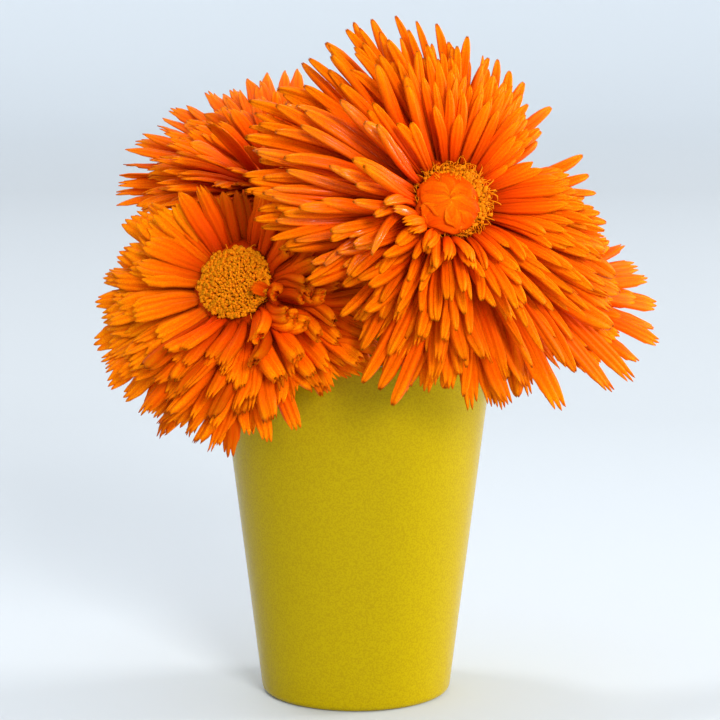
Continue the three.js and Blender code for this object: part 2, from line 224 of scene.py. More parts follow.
# A sheet petal is folded back along its length, and ends in three teeth. The toothed variants give how deep
# the teeth are and how far they lean to one side. The blades' give how far the tip leans and how deep the
# grooves are.
TOOTHED_VARIANTS = ((0.07, 0.5), (0.1, -0.8), (0.055, 1.2))
BLADE_VARIANTS = ((0.6, 0.014), (-0.8, 0.02))
STRAP_TEETH = 1.2
BLADE_TEETH = 0.01
LIGULE_GROOVES = 0.02
SHEET_COLUMNS = 12
BLADE_COLUMNS = 8
SHEET_ROWS = (0, 0.14, 0.3, 0.46, 0.62, 0.75, 0.84, 0.91, 0.96, 1)
TEETH_START = 0.84
LEAST_FOLD = 4
LIGULE_WIDTHS = (0.4, 0.58, 0.76, 0.9, 0.98, 1, 0.98, 0.93, 0.86, 0.76)
LIGULE_FOLDS = (130, 96, 68, 50, 40, 34, 30, 28, 28, 30)
STRAP_WIDTHS = (0.45, 0.6, 0.78, 0.92, 1, 1, 0.95, 0.88, 0.8, 0.7)
STRAP_FOLDS = (190, 170, 150, 134, 122, 116, 112, 108, 104, 100)
BLADE_WIDTHS = (0.5, 0.68, 0.86, 0.97, 1, 0.94, 0.8, 0.58, 0.36, 0.12)
BLADE_FOLDS = (150, 130, 110, 96, 88, 86, 90, 96, 104, 110)
PETAL_THICKNESS = 0.06

# Young petals furled over a disc, the lowest first: the clock angle of the root, half the width and the
# length in dome radii, how far the petal swings aside, and which margin is loose, as a height in millimetres.
# The layer and the thickness are in millimetres too. How far out the roots stand, how much wider than the
# dome the petals arch, and how ragged the outline is are in dome radii. Wavy is a share of a petal's width.
BUD_PETALS = (
    (30, 0.55, 0.8, 0.1, 0.6), (75, 0.6, 0.85, 0.2, -0.8), (5, 0.7, 1.15, -0.3, -1.0),
    (100, 0.6, 1.0, 0.2, 1.1), (325, 0.65, 1.35, 0.3, 1.5), (275, 0.6, 1.0, -0.1, -1.2),
    (180, 0.65, 0.7, 0.25, 1.3), (205, 0.75, 0.72, -0.3, -1.3), (125, 0.62, 1.0, -0.35, -1.4),
    (235, 0.75, 0.98, 0.35, 1.5),
)
BUD_ROWS = 18
BUD_COLUMNS = 14
BUD_LAYER = 0.2
BUD_THICKNESS = 0.14
BUD_ROOTS = 0.97
BUD_ARCH = 1.1
BUD_RAGGED = 0.07
BUD_WAVY = 0.07
# BUD_SHADE is painted shade that darkens the bud, its core and the leaning petals
BUD_SHADE = -0.3
BUD_TONES = (0.52, 0.98)
DOME_STEPS = 14
DOME_ROUNDNESS = 2.4

# What lies deep between the petals keeps to this share of V, where petals have the dark colour of their
# roots, so that it is painted as shade
PAINTED_SHADE_TONE = 0.2

# Plant tissue: how many ribs cross a petal, how narrow its rim is as a power, and how far apart in the noise
# petals of different shades are, so that their streaks differ
RIBS_ACROSS = 3
RIM_POWER = 4
STREAKS_APART = 37

# Where two blooms touch, they press on one another along a plane: a point on it and the way to its own side
PRESSED = {
    "large_left": ((-13, -48, 112), (0.35, -0.85, 0.38)),
    "large_back": ((-8, -27, 130), (0.35, -0.93, 0)),
    "large_side": ((45, -24, 105), (0.1, -0.99, 0.1)),
    "back_left": ((-22, -18.5, 114), (0, 0.75, 0.66)),
    "back_side": ((22, 5, 118), (-0.9, 0, 0.43)),
    "side_rim": ((34.6, 4, 86), (0.75, 0, 0.66)),
}

# Shades below 0 are painted shade, for petals that other petals and blooms shade
# The blooms, in millimetres, and what they have where they don't say otherwise.
# centre and facing place the head. The stem stands at foot on the vase's floor and passes the rim at neck.
# planes are those that the petals keep to, and on which side. petals is how many places the spiral has.
# ages give the range of shades, and lengths the range of petal lengths as shares of what the rule gives.
# reach and inner_tips are the radii of the outer and the inner tips at even steps round the clock.
# outer_pitch and inner_pitch are how far petals stand up, the latter at even steps round the clock too.
# bend is how far they bend back along their length, for the innermost and the outermost.
# crinkle is how uneven their surface is. bud is how far across and up it stands, its radius and its height.
# leaning has the clock angle, pitch, length and width of small petals that lean in over the disc.
# florets has their number and height, how far they stray, and how much curled styles take over from the rim.
# glossy is the sector where petals shine. swept is the sector where they sweep aside, and how far at most.
# zones give the kind, width, tip curl and kept share of the petals in a sector of the whorls, and the first
# that fits holds: (least share, most share, from clock, to clock, kinds, width, curl, kept share).
# casts give the range of shades in a sector: dusky below 0, yellower with age up to 1, and with a pale root
# above 1: (least share, most share, from clock, to clock, lowest shade, highest shade).
# tips are the places in the photograph, in its pixels, of petal ends that stand clear of the outline.
USUAL = {"bud": None, "leaning": (), "glossy": (0, 0), "swept": (0, 0, 0), "bend": (-18, -14)}
BLOOMS = [
    {
        "name": "large", "centre": (22, -50, 126), "facing": (0.22, -0.92, 0.33),
        "neck": (13, -20, 84), "foot": (6, -9),
        "planes": [("large_left", 1), ("large_back", 1), ("large_side", 1)],
        "petals": 520, "ages": (0, 0.85), "lengths": (0.86, 1.0), "crinkle": 0.45,
        "reach": (
            46, 42, 37, 35, 30, 34, 38, 44, 50, 51, 52, 50, 47, 44, 40, 37, 36, 41, 48, 51, 52, 53, 54, 50),
        "inner_tips": (
            20, 23, 26, 25, 13, 27, 29, 25, 19, 16, 15, 14, 14, 14, 14, 14, 14, 15, 16, 17, 19, 19, 19, 19),
        "outer_pitch": -5,
        "inner_pitch": (48, 34, 24, 22, 34, 58, 76, 82, 82, 78, 66, 54),
        "bend": (-26, -16),
        "bud": (-2.0, -0.9, 7.4, 2.3),
        "florets": (880, 1.2, 0.5, 1.1),
        "glossy": (240, 310),
        "zones": [
            (0.1, 1, 57, 71, ("blade",), 3.2, -4, 0),
            (0, 0.1, 57, 71, ("blade",), 3.6, -4, 1),
            (0.84, 1, 100, 190, ("ligule",), 4.8, -6, 0.7),
            (0.62, 1, 165, 225, ("quill", "strap"), 3.4, -3, 1),
            (0, 0.06, 175, 262, ("tube", "strap"), 3.6, -40, 1),
            (0, 0.5, 0, 105, ("blade",), 3.2, -4, 1),
            (0, 0.35, 105, 165, ("blade", "quill"), 2.8, -12, 1),
            (0, 0.45, 340, 360, ("blade",), 2.8, -4, 1),
            (0, 1, 165, 225, ("quill",), 2.5, -3, 0.52),
            (0, 0.6, 225, 340, ("quill",), 3.4, -12, 0.41),
            (0.6, 1, 225, 320, ("quill",), 3.0, -12, 0.7),
            (0, 1, 105, 165, ("quill", "blade"), 2.7, -5, 0.75),
            (0, 1, 0, 360, ("quill",), 2.65, -5, 0.85),
        ],
        # Below 0 these shades are painted shade, on the outer lower petals behind the quills and on some at
        # the left
        "casts": ((0.55, 1, 100, 260, -0.3, 0), (0.7, 1, 260, 330, -0.15, 0.7)),
        "tips": {
            "quill": [
                (310, 58), (327, 41), (348, 28), (371, 20), (397, 15), (418, 21), (439, 23),
                (451, 42), (467, 37), (484, 57), (500, 59), (512, 72), (524, 83), (550, 107),
                (537, 142), (584, 157), (590, 176), (595, 193), (606, 223), (604, 250), (615, 275),
                (620, 296), (612, 330), (575, 371), (522, 395), (505, 380), (446, 388), (468, 62),
                (395, 406), (384, 374), (403, 384), (381, 390), (363, 383), (356, 321), (361, 350),
                (312, 276), (290, 245), (279, 249), (262, 228), (258, 208), (245, 190), (243, 172),
                (245, 134), (250, 124), (254, 115), (270, 107), (280, 89),
            ],
            "ligule": [(634, 382), (612, 392), (562, 411), (492, 407), (473, 410), (424, 392)],
        },
    },
    {
        "name": "left", "centre": (-27.5, -38, 106), "facing": (-0.28, -0.87, 0.4),
        "neck": (-16, -19, 84), "foot": (-8, -9),
        "planes": [("large_left", -1), ("back_left", -1)],
        "petals": 270, "ages": (0.25, 1), "lengths": (0.86, 1.0), "crinkle": 0.9,
        "reach": (31, 28, 32, 39, 37, 33, 40, 42, 41, 39, 36, 31),
        "inner_tips": (27, 23, 16, 14, 14, 15, 17, 19, 22, 23, 25, 28),
        "outer_pitch": -4,
        "inner_pitch": (44, 50, 62, 64, 62, 56, 46, 34, 20, 16, 24, 36),
        "leaning": ((104, 106, 5.5, 3.4),),
        "florets": (860, 1.3, 0.3, 0.2),
        "swept": (110, 235, 0.34),
        "zones": [
            (0.45, 1, 0, 22, ("blade", "strap"), 4.2, -4, 0.6),
            (0, 0.45, 0, 22, ("blade", "strap"), 4.4, -4, 0.3),
            (0, 0.5, 22, 150, ("tube", "tube", "strap"), 5.4, 14, 0.7),
            (0.5, 1, 22, 150, ("tube", "tube", "strap"), 4.8, 10, 0.85),
            (0.3, 1, 215, 322, ("ligule",), 5.6, -6, 0.62),
            (0, 0.3, 215, 322, ("ligule",), 5.8, -6, 0.5),
            (0, 1, 150, 215, ("strap", "strap", "tube", "ligule"), 4.6, -14, 0.8),
            (0.45, 1, 322, 360, ("blade", "strap"), 4.2, -4, 0.6),
            (0, 0.45, 322, 360, ("blade", "strap"), 4.6, -4, 0.3),
        ],
        # Below 0 these are painted shade: at the top under the back bloom, at the right in the large bloom's
        # shadow, and at the bottom. The left has pale roots.
        "casts": (
            (0.45, 1, 322, 360, -0.85, -0.5), (0.45, 1, 0, 40, -0.85, -0.5), (0, 0.45, 322, 360, -0.3, 0),
            (0, 0.45, 0, 30, -0.4, -0.1), (0, 1, 30, 110, -0.6, -0.25), (0, 1, 110, 215, -0.6, 0.25),
            (0, 1, 225, 322, 0.7, 1.25),
        ),
        "tips": {
            "ligule": [
                (149, 205), (125, 219), (119, 251), (118, 258), (109, 269), (102, 278), (101, 318), (93, 345),
                (101, 362), (107, 386), (123, 398), (147, 411), (249, 436), (266, 442), (297, 431),
            ],
            "strap": [
                (172, 206), (160, 212), (352, 377), (366, 374), (347, 366), (356, 355), (95, 302),
                (135, 214), (105, 373), (165, 425), (159, 439), (189, 437), (215, 445), (228, 457),
                (320, 387), (340, 377),
            ],
            "tube": [
                (374, 325), (370, 366), (376, 256), (383, 268), (380, 350), (372, 334), (385, 320),
                (376, 308), (368, 296), (360, 362),
            ],
        },
    },
    {
        "name": "back", "centre": (-18, -4, 131), "facing": (-0.22, -0.5, 0.84),
        "neck": (-9, 6, 84), "foot": (-5, 5),
        "planes": [("large_back", -1), ("back_left", 1), ("back_side", 1)],
        "petals": 230, "ages": (0.3, 0.95), "lengths": (0.85, 0.98), "crinkle": 0.9,
        "reach": (43, 39, 36, 35, 33, 33, 33, 36, 41, 44, 45, 45),
        "inner_tips": (18, 18, 18, 19, 22, 24, 24, 24, 22, 19, 18, 18),
        "outer_pitch": 8,
        "inner_pitch": (40, 44, 50, 58, 68, 76, 78, 76, 66, 52, 44, 40),
        "bud": (0, 0, 8.0, 2.6),
        "florets": (400, 1.5, 0.3, 0.2),
        "zones": [
            (0, 1, 130, 230, ("blade", "strap", "ligule"), 4.6, -10, 0.8),
            (0, 1, 0, 360, ("blade", "strap", "strap"), 4.2, -12, 0.85),
        ],
        "casts": ((0, 1, 0, 360, -0.35, 0.75),),
        "tips": {
            "strap": [
                (116, 192), (118, 182), (123, 164), (135, 140), (157, 126), (170, 106), (208, 91), (233, 88),
                (260, 84),
            ],
            "blade": [
                (115, 203), (119, 174), (124, 147), (142, 133), (162, 117), (186, 103), (222, 91), (240, 89),
                (247, 77), (259, 79), (267, 72), (284, 68), (297, 67),
            ],
        },
    },
    {
        "name": "side", "centre": (46, 3, 103), "facing": (0.45, -0.65, 0.6),
        "neck": (21, 9.5, 84), "foot": (10, 5),
        "planes": [("large_side", -1), ("back_side", -1), ("side_rim", 1)],
        "petals": 190, "ages": (0.2, 0.9), "lengths": (0.78, 0.93), "crinkle": 0.7,
        "reach": (31, 31, 32, 31, 31, 31, 31, 29, 28, 27, 27, 28),
        "inner_tips": (18,) * 12,
        "outer_pitch": 2,
        "inner_pitch": (46,) * 12,
        "florets": (700, 1.4, 0.3, 0.2),
        "zones": [
            (0.4, 1, 30, 150, ("ligule", "strap"), 5.4, -6, 0.25),
            (0.4, 1, 0, 360, ("ligule", "strap"), 5.2, -6, 0.6),
            (0, 1, 0, 360, ("strap", "blade"), 4.2, -10, 0.8),
        ],
        "casts": ((0, 1, 0, 360, -0.25, 0.7),),
        "tips": {
            "ligule": [(639, 266), (657, 306), (654, 327), (660, 343)],
            "strap": [(599, 228), (609, 241), (622, 244), (648, 278), (637, 298), (639, 361)],
        },
    },
]

# The stage: a pale sweep all round, in metres, and soft square lights, each with its place, size, power and
# colour
SWEEP_FLAT_RADIUS = 3.0
SWEEP_BEND_RADIUS = 3.0
SWEEP_BEND_STEPS = 12
SWEEP_HEIGHT = 3.4
SWEEP_SIDES = 96
DAYLIGHT = (0.97, 0.98, 1, 1)
DAYLIGHT_STRENGTH = 0.85
LIGHTS_AIM = Vector((0, 0, 0.1))
LIGHTS = {
    "window": ((1.0, -2.8, 1.3), 0.9, 76, (1, 0.99, 0.97)),
    "side window": ((2.8, 0.6, 0.6), 1.1, 88, (1, 0.98, 0.95)),
    "skylight": ((-0.8, 0.6, 2.5), 0.4, 14, (1, 1, 1)),
}


def mix(first, second, share):
    return first + (second - first) * share


def put_in_scene(name, data):
    piece = bpy.data.objects.new(name, data)
    bpy.context.scene.collection.objects.link(piece)
    return piece


def make_camera():
    """The camera looks a little down at the posy, from where the photograph was taken."""
    data = bpy.data.cameras.new("camera")
    data.lens = CAMERA_LENS
    data.sensor_width = SENSOR_WIDTH
    slope = math.radians(CAMERA_SLOPE)
    camera = put_in_scene("camera", data)
    camera.location = CAMERA_AIM + CAMERA_DISTANCE * Vector((0, -math.cos(slope), math.sin(slope)))
    camera.rotation_euler = (math.radians(90 - CAMERA_SLOPE), 0, 0)
    bpy.context.scene.camera = camera
    return camera


camera = make_camera()


# Node trees


def feed(entry, value):
    """Joins a value to an entry of a node, or sets the entry to a plain number, colour or thing."""
    if isinstance(value, Value):
        entry.id_data.links.new(value.socket, entry)
    else:
        entry.default_value = value


def add_node(tree, kind, *values, **named):
    """Adds a node and gives back its first way out. values feed its entries in order.

    A name in small letters is a setting. One with a capital is an entry, with _ for a blank.
    """
    node = tree.nodes.new(kind)
    for name in filter(str.islower, named):
        setattr(node, name, named[name])
    for entry, value in zip(node.inputs, values):
        feed(entry, value)
    for name, value in named.items():
        if not name.islower():
            feed(node.inputs[name.replace("_", " ")], value)
    return Value(node.outputs[0])


def worked_by(operation):
    """A rule that works out a value from others by a maths node."""
    def rule(value, *others):
        return add_node(value.socket.id_data, "ShaderNodeMath", value, *others, operation=operation)
    return rule


class Value:
    """What comes out of a node, so that a rule can be written as plain sums.

    value["Y"] is the way out named Y of the same node.
    """

    __add__ = worked_by("ADD")
    __sub__ = worked_by("SUBTRACT")
    __mul__ = worked_by("MULTIPLY")
    __truediv__ = worked_by("DIVIDE")
    at_most = worked_by("MINIMUM")
    at_least = worked_by("MAXIMUM")
    to_power = worked_by("POWER")
    rounded_down = worked_by("FLOOR")
    sine = worked_by("SINE")
    cosine = worked_by("COSINE")

    def __init__(self, socket):
        self.socket = socket

    def __getitem__(self, name):
        return Value(self.socket.node.outputs[name])


def new_tree(name, kind, entries, exits):
    """A node tree or shader group with named entries and exits, given as {name: what goes through}."""
    tree = bpy.data.node_groups.new(name, kind)
    for way, sockets in (("INPUT", entries), ("OUTPUT", exits)):
        for socket, content in sockets.items():
            tree.interface.new_socket(socket, in_out=way, socket_type=f"NodeSocket{content}")
    start = add_node(tree, "NodeGroupInput")
    end = tree.nodes.new("NodeGroupOutput")
    return tree, start, end.inputs


def split(tree, vector):
    return add_node(tree, "ShaderNodeSeparateXYZ", vector)


def vector_of(tree, across, along, up):
    return add_node(tree, "ShaderNodeCombineXYZ", across, along, up)


def geometry_of(tree, thing):
    return add_node(tree, "GeometryNodeObjectInfo", Object=thing)["Geometry"]


def separate_shapes(tree, shapes):
    return add_node(
        tree, "GeometryNodeCollectionInfo", Collection=shapes, Separate_Children=True, Reset_Children=True)


def joined(tree, *parts):
    """Parts in one geometry, with their instances made real."""
    join = tree.nodes.new("GeometryNodeJoinGeometry")
    for part in parts:
        feed(join.inputs[0], part)
    return add_node(tree, "GeometryNodeRealizeInstances", Value(join.outputs[0]))


def put_out(tree, end, finish, *parts):
    """Ends a tree with its parts in one geometry, in their finish."""
    feed(end[0], add_node(tree, "GeometryNodeSetMaterial", joined(tree, *parts), Material=finish))


def grown(name, mesh, tree, sizes):
    """A plain mesh that a node tree grows from a starting mesh. sizes holds the tree's named inputs."""
    piece = put_in_scene(name, mesh)
    modifier = piece.modifiers.new("grown", "NODES")
    modifier.node_group = tree
    for item in tree.interface.items_tree:
        if item.in_out == "INPUT" and item.name in sizes:
            modifier[item.identifier] = sizes[item.name]
    depsgraph = bpy.context.evaluated_depsgraph_get()
    finished = bpy.data.meshes.new_from_object(
        piece.evaluated_get(depsgraph), preserve_all_data_layers=True, depsgraph=depsgraph)
    piece.modifiers.clear()
    piece.data = finished
    finished.name = name
    return piece


# Mesh helpers


def plain_mesh(name, points, faces, flat_places=None, undersides=None):
    """A smooth mesh, with a UV place for each point and a mark for what lies on a petal's back."""
    mesh = bpy.data.meshes.new(name)
    mesh.from_pydata([tuple(point) for point in points], [], faces)
    mesh.shade_smooth()
    places = flat_places or [(0, 0)] * len(points)
    layer = mesh.uv_layers.new(name="UVMap")
    for loop in mesh.loops:
        layer.data[loop.index].uv = places[loop.vertex_index]
    marks = mesh.attributes.new("underside", "FLOAT", "POINT")
    marks.data.foreach_set("value", [float(mark) for mark in undersides or [0] * len(points)])
    return mesh


def round_point(side, sides, radius, height):
    """A point on a side of a ring round the Z axis."""
    angle = 2 * math.pi * side / sides
    return radius * math.cos(angle), radius * math.sin(angle), height


def band_faces(rings, size, closed=True):
    """Faces between neighbouring rows of points, each row size points long."""
    faces = []
    for ring in range(rings - 1):
        for side in range(size if closed else size - 1):
            here = ring * size + side
            following = ring * size + (side + 1) % size
            faces.append((here, following, following + size, here + size))
    return faces


def tube_faces(rings, size):
    """Faces of a tube of closed rows, with a cap at either end."""
    caps = [tuple(reversed(range(size))), tuple(range((rings - 1) * size, rings * size))]
    return band_faces(rings, size) + caps


def skin_faces(rows, columns):
    """Faces of a thin closed skin: a front sheet of points, row by row, and then its back sheet."""
    size = columns + 1
    count = rows * size
    front = band_faces(rows, size, closed=False)
    back = [tuple(corner + count for corner in reversed(face)) for face in front]
    border = list(range(size)) + [row * size + columns for row in range(1, rows)]
    border += [(rows - 1) * size + column for column in range(columns - 1, -1, -1)]
    border += [row * size for row in range(rows - 2, 0, -1)]
    edge = []
    for corner, following in zip(border, border[1:] + border[:1]):
        edge.append((following, corner, corner + count, following + count))
    return front + back + edge


def turned_mesh(name, profile, sides, ribs=0, rib_depth=0):
    """A turned solid from [radius, height] points from its lower pole to its upper pole, with soft ribs."""
    points = [(0, 0, profile[0][1])]
    places = [(0, 0)]
    for index, (radius, height) in enumerate(profile[1:-1]):
        for side in range(sides):
            ribbed = radius * (1 + rib_depth * math.cos(ribs * 2 * math.pi * side / sides))
            points.append(round_point(side, sides, ribbed, height))
            places.append((side / sides, (index + 1) / len(profile)))
    points.append((0, 0, profile[-1][1]))
    places.append((0, 1))
    rings = len(profile) - 2
    faces = [tuple(corner + 1 for corner in face) for face in band_faces(rings, sides)]
    top = 1 + (rings - 1) * sides
    for side in range(sides):
        following = (side + 1) % sides
        faces.append((0, 1 + following, 1 + side))
        faces.append((len(points) - 1, top + side, top + following))
    return plain_mesh(name, points, faces, places)


def rounded(corner, before, after, radius, steps=6):
    """Points of a rounded corner of a profile, from the side that comes before to the side after."""
    corner, before, after = Vector(corner), Vector(before), Vector(after)
    start = corner + (before - corner).normalized() * radius
    end = corner + (after - corner).normalized() * radius
    points = []
    for step in range(steps + 1):
        share = step / steps
        points.append(tuple(start.lerp(corner, share).lerp(corner.lerp(end, share), share)))
    return points


def painted_in_shade(mesh):
    """A mesh that is seen only deep between the petals, painted with the dark root colour as shade."""
    for place in mesh.uv_layers["UVMap"].data:
        place.uv.y *= PAINTED_SHADE_TONE
    return mesh


def collected(name, meshes):
    """Shapes in a collection, from which a tree picks by the order of their names."""
    shapes = bpy.data.collections.new(name)
    for place, mesh in enumerate(meshes):
        shapes.objects.link(bpy.data.objects.new(f"{name} {place:02d}", mesh))
    return shapes


# Petal shapes


def rolled_petal(widths, depth, hook, bow, lap_side, mouth, throat, teeth):
    """A petal rolled into a quill: one margin laps over the other in front, and the tip has a small mouth."""
    section = [(lap_side * aside, lift, across) for aside, lift, across in ROLLED_SECTION]
    section = section[::lap_side]
    points, places, undersides = [], [], []
    rows = [(share, share, width) for share, width in zip(ROLLED_ROWS, widths)]
    rows.append((1 - MOUTH_DEPTH * mouth, throat, THROAT_NARROWS * mouth))
    for share, along, width in rows:
        bent = bow * math.sin(math.pi * share) - 0.4 * bow * share ** TIP_POWER
        for side, (aside, lift, across) in enumerate(section):
            tooth = teeth * (-1) ** side if share == 1 else 0
            points.append((
                0.5 * width * (aside + ROLL_SWING * lap_side * (1 - abs(aside)) * math.sin(5 * share)) + bent,
                share + tooth,
                width * lift * (depth if lift > 0 else 1) + hook * share ** TIP_POWER,
            ))
            places.append((across, along))
            undersides.append(lift < 0)
    return plain_mesh("rolled petal", points, tube_faces(len(rows), len(section)), places, undersides)


def toothed_end(place, depth, skew):
    """How far a petal reaches at a place across it, from -1 to 1: three teeth, with notches between."""
    tooth = abs(math.sin(1.5 * math.pi * (abs(place) + 1 / 3)))
    shoulder = 0.5 * place * place
    return 1 - depth * (1 - tooth + shoulder + 0.4 * skew * place)


def sheet_petal(
        columns, widths, folds, tooth_depth, skew, grooves, rows=SHEET_ROWS, thickness=PETAL_THICKNESS):
    """A petal of one thin skin, folded back along its length by the angles in folds."""
    points, places, undersides = [], [], []
    for layer in (0, 1):
        for share, width, fold in zip(rows, widths, folds):
            half = math.radians(max(fold, LEAST_FOLD)) / 2
            radius = 0.5 * width / math.sin(min(half, math.pi / 2))
            for column in range(columns + 1):
                place = 2 * column / columns - 1
                angle = place * half
                crease = grooves * width * math.cos(3 * math.pi * place)
                height = radius * (math.cos(angle) - math.cos(0.5 * half)) + crease
                blunt = max(0, (share - TEETH_START) / (1 - TEETH_START))
                along = share - blunt * (1 - toothed_end(place, tooth_depth, skew))
                drop = thickness * layer
                points.append(((radius - drop) * math.sin(angle), along, height - drop * math.cos(angle)))
                places.append((0.5 + 0.5 * place, share))
                undersides.append(layer)
    return plain_mesh("sheet petal", points, skin_faces(len(rows), columns), places, undersides)


def petal_shapes():
    """The petal shapes in a collection, and the places in it of each kind's variants."""
    made = []
    for depth, hook, bow, lap_side in ROLLED_VARIANTS:
        made.append(("quill", rolled_petal(QUILL_WIDTHS, depth, hook, bow, lap_side, *QUILL_MOUTH)))
        made.append(("tube", rolled_petal(TUBE_WIDTHS, depth, TUBE_HOOKS * hook, bow, lap_side, *TUBE_MOUTH)))
    for teeth, skew in TOOTHED_VARIANTS:
        made.append(("ligule", sheet_petal(
            SHEET_COLUMNS, LIGULE_WIDTHS, LIGULE_FOLDS, teeth, skew, LIGULE_GROOVES)))
        made.append(("strap", sheet_petal(
            SHEET_COLUMNS, STRAP_WIDTHS, STRAP_FOLDS, STRAP_TEETH * teeth, skew, 0)))
    for skew, grooves in BLADE_VARIANTS:
        made.append(("blade", sheet_petal(
            BLADE_COLUMNS, BLADE_WIDTHS, BLADE_FOLDS, BLADE_TEETH, skew, grooves)))
    kinds = {}
    for place, (kind, _) in enumerate(made):
        kinds.setdefault(kind, []).append(place)
    return collected("petal shape", [mesh for _, mesh in made]), kinds


# The rule that sets petals round a head


def head_matrix(bloom):
    """A head's own frame: its right, its top and its front as seen from the front, at its centre."""
    front = Vector(bloom["facing"]).normalized()
    right = Vector((0, 0, 1)).cross(front).normalized()
    top = front.cross(right)
    matrix = Matrix((right, top, front)).transposed().to_4x4()
    matrix.translation = Vector(bloom["centre"]) * MM
    return matrix


def round_the_clock(values, clock):
    """A value at a clock angle, between those given at even steps round the head."""
    place = (clock % 360) / 360 * len(values)
    first = int(place)
    return mix(values[first], values[(first + 1) % len(values)], place - first)


def petal_point(petal, share):
    """A point of a petal's middle line, in its head's frame. Its pitch changes evenly along it."""
    start = math.radians(petal["pitch"])
    bend = math.radians(petal["bend"])
    pitch = start + bend * share
    radius = petal["root_radius"] + petal["length"] * (math.sin(pitch) - math.sin(start)) / bend
    height = petal["root_height"] - petal["length"] * (math.cos(pitch) - math.cos(start)) / bend
    clock = math.radians(petal["clock"])
    return Vector((radius * math.sin(clock), radius * math.cos(clock), height))


def is_clear(bloom, head, petal):
    for share in CLEAR_SHARES:
        point = head @ petal_point(petal, share)
        for name, side in bloom["planes"]:
            at, toward = PRESSED[name]
            away = (point - Vector(at) * MM).dot(Vector(toward).normalized()) * side
            if away < PETAL_CLEARANCE:
                return False
    return True


def bend_clear(bloom, head, petal):
    """A petal that would reach into the next bloom stands up, or lies back, and is a little shorter."""
    first_pitch = petal["pitch"]
    first_length = petal["length"]
    for step in range(CLEARING_STEPS):
        petal["length"] = first_length * SHORTER ** step
        for pitch in (first_pitch + step * CLEARING_TURN, first_pitch - step * CLEARING_TURN):
            petal["pitch"] = min(max(pitch, LOWEST_PITCH), STEEPEST_PITCH)
            if is_clear(bloom, head, petal):
                return


def set_length(petal, tip_radius):
    """The length that takes a petal's tip out to a radius."""
    start = math.radians(petal["pitch"])
    bend = math.radians(petal["bend"])
    petal["length"] = (tip_radius - petal["root_radius"]) * bend / (math.sin(start + bend) - math.sin(start))


def ruled_petal(bloom, share, clock, draw):
    """A petal by its share of the way from the innermost to the outermost, and its clock angle."""
    steep = round_the_clock(bloom["inner_pitch"], clock)
    stray = draw.uniform(-PITCH_STRAY, PITCH_STRAY)
    petal = {
        "clock": clock % 360,
        "root_radius": mix(INNER_ROOT_RADIUS, OUTER_ROOT_RADIUS, share) - ROOT_SUNK,
        "root_height": -mix(INNER_ROOT_DROP, OUTER_ROOT_DROP, share),
        "pitch": mix(steep, bloom["outer_pitch"], share ** PITCH_SPREAD) + stray,
        "bend": mix(*bloom["bend"], share),
        "roll": draw.gauss(0, ROLL_STRAY),
        "sway": draw.gauss(0, SWAY_STRAY),
        "shade": draw.uniform(*bloom["ages"]),
    }
    inner = round_the_clock(bloom["inner_tips"], clock)
    outer = round_the_clock(bloom["reach"], clock)
    set_length(petal, mix(inner, outer, share ** TIP_SPREAD) * draw.uniform(*bloom["lengths"]) * MM)
    return petal


def in_sector(sector, share, clock):
    """Whether a zone or a cast holds at a share of the way out and a clock angle."""
    least, most, first, last = sector[:4]
    return least <= share <= most and first <= clock <= last


def give_kind(bloom, petal, share, kinds, draw, kind=None):
    """The kind, width and tip curl of a petal, from the zone that it stands in. True if it is kept."""
    clock = petal["clock"]
    choice, width, curl, kept = next(zone[4:] for zone in bloom["zones"] if in_sector(zone, share, clock))
    kind = kind or draw.choice(choice)
    petal["kind"] = draw.choice(kinds[kind])
    petal["width"] = width * MM * mix(INNERMOST_WIDTH, 1, share) * draw.uniform(*WIDTH_STRAY)
    petal["curl"] = curl * draw.uniform(*CURL_STRAY)
    for cast in bloom["casts"]:
        if in_sector(cast, share, clock):
            petal["shade"] = draw.uniform(*cast[4:])
    first, last, most_sway = bloom["swept"]
    if first < clock < last:
        petal["sway"] += most_sway * math.sin(math.pi * (clock - first) / (last - first))
    first, last = bloom["glossy"]
    petal["gloss"] = draw.random() if first < clock < last and share < GLOSSY_SHARE else 0
    petal["sway"] *= 1 + GLOSSY_SWAY * petal["gloss"]
    return draw.random() < kept


def camera_ray(pixel_x, pixel_y):
    """The way from the camera through a place in the photograph."""
    half = 0.5 * PHOTO_WIDTH
    focal = CAMERA_LENS / SENSOR_WIDTH * PHOTO_WIDTH
    ray = Vector((pixel_x - half, half - pixel_y, -focal))
    return (camera.rotation_euler.to_matrix() @ ray).normalized()


def aimed_petal(bloom, head, pixel, draw):
    """An outer petal whose tip shows at a given place in the photograph."""
    share = draw.uniform(*AIMED_SHARES)
    petal = ruled_petal(bloom, share, 0, draw)
    to_head = head.inverted()
    eye = to_head @ camera.location
    ray = to_head.to_3x3() @ camera_ray(*pixel)
    height = 0
    for _ in range(AIMING_ROUNDS):
        tip = eye + ray * ((height - eye.z) / ray.z)
        petal["clock"] = math.degrees(math.atan2(tip.x, tip.y)) % 360
        furthest = AIMED_REACH * round_the_clock(bloom["reach"], petal["clock"]) * MM
        set_length(petal, min(tip.xy.length, furthest))
        height = petal_point(petal, 1).z
    return petal, share


def leaning_petal(clock, pitch, length, width, kinds, draw):
    """A small petal of the innermost whorl that leans in over the disc."""
    return {
        "clock": clock, "root_radius": DISC_RADIUS, "root_height": 0, "length": length * MM, "pitch": pitch,
        "bend": LEANING_BEND, "width": width * MM, "curl": 0, "roll": 0, "sway": LEANING_SWAY,
        # BUD_SHADE gives the leaning petal painted shade
        "shade": BUD_SHADE, "gloss": 0, "kind": draw.choice(kinds["strap"]),
    }


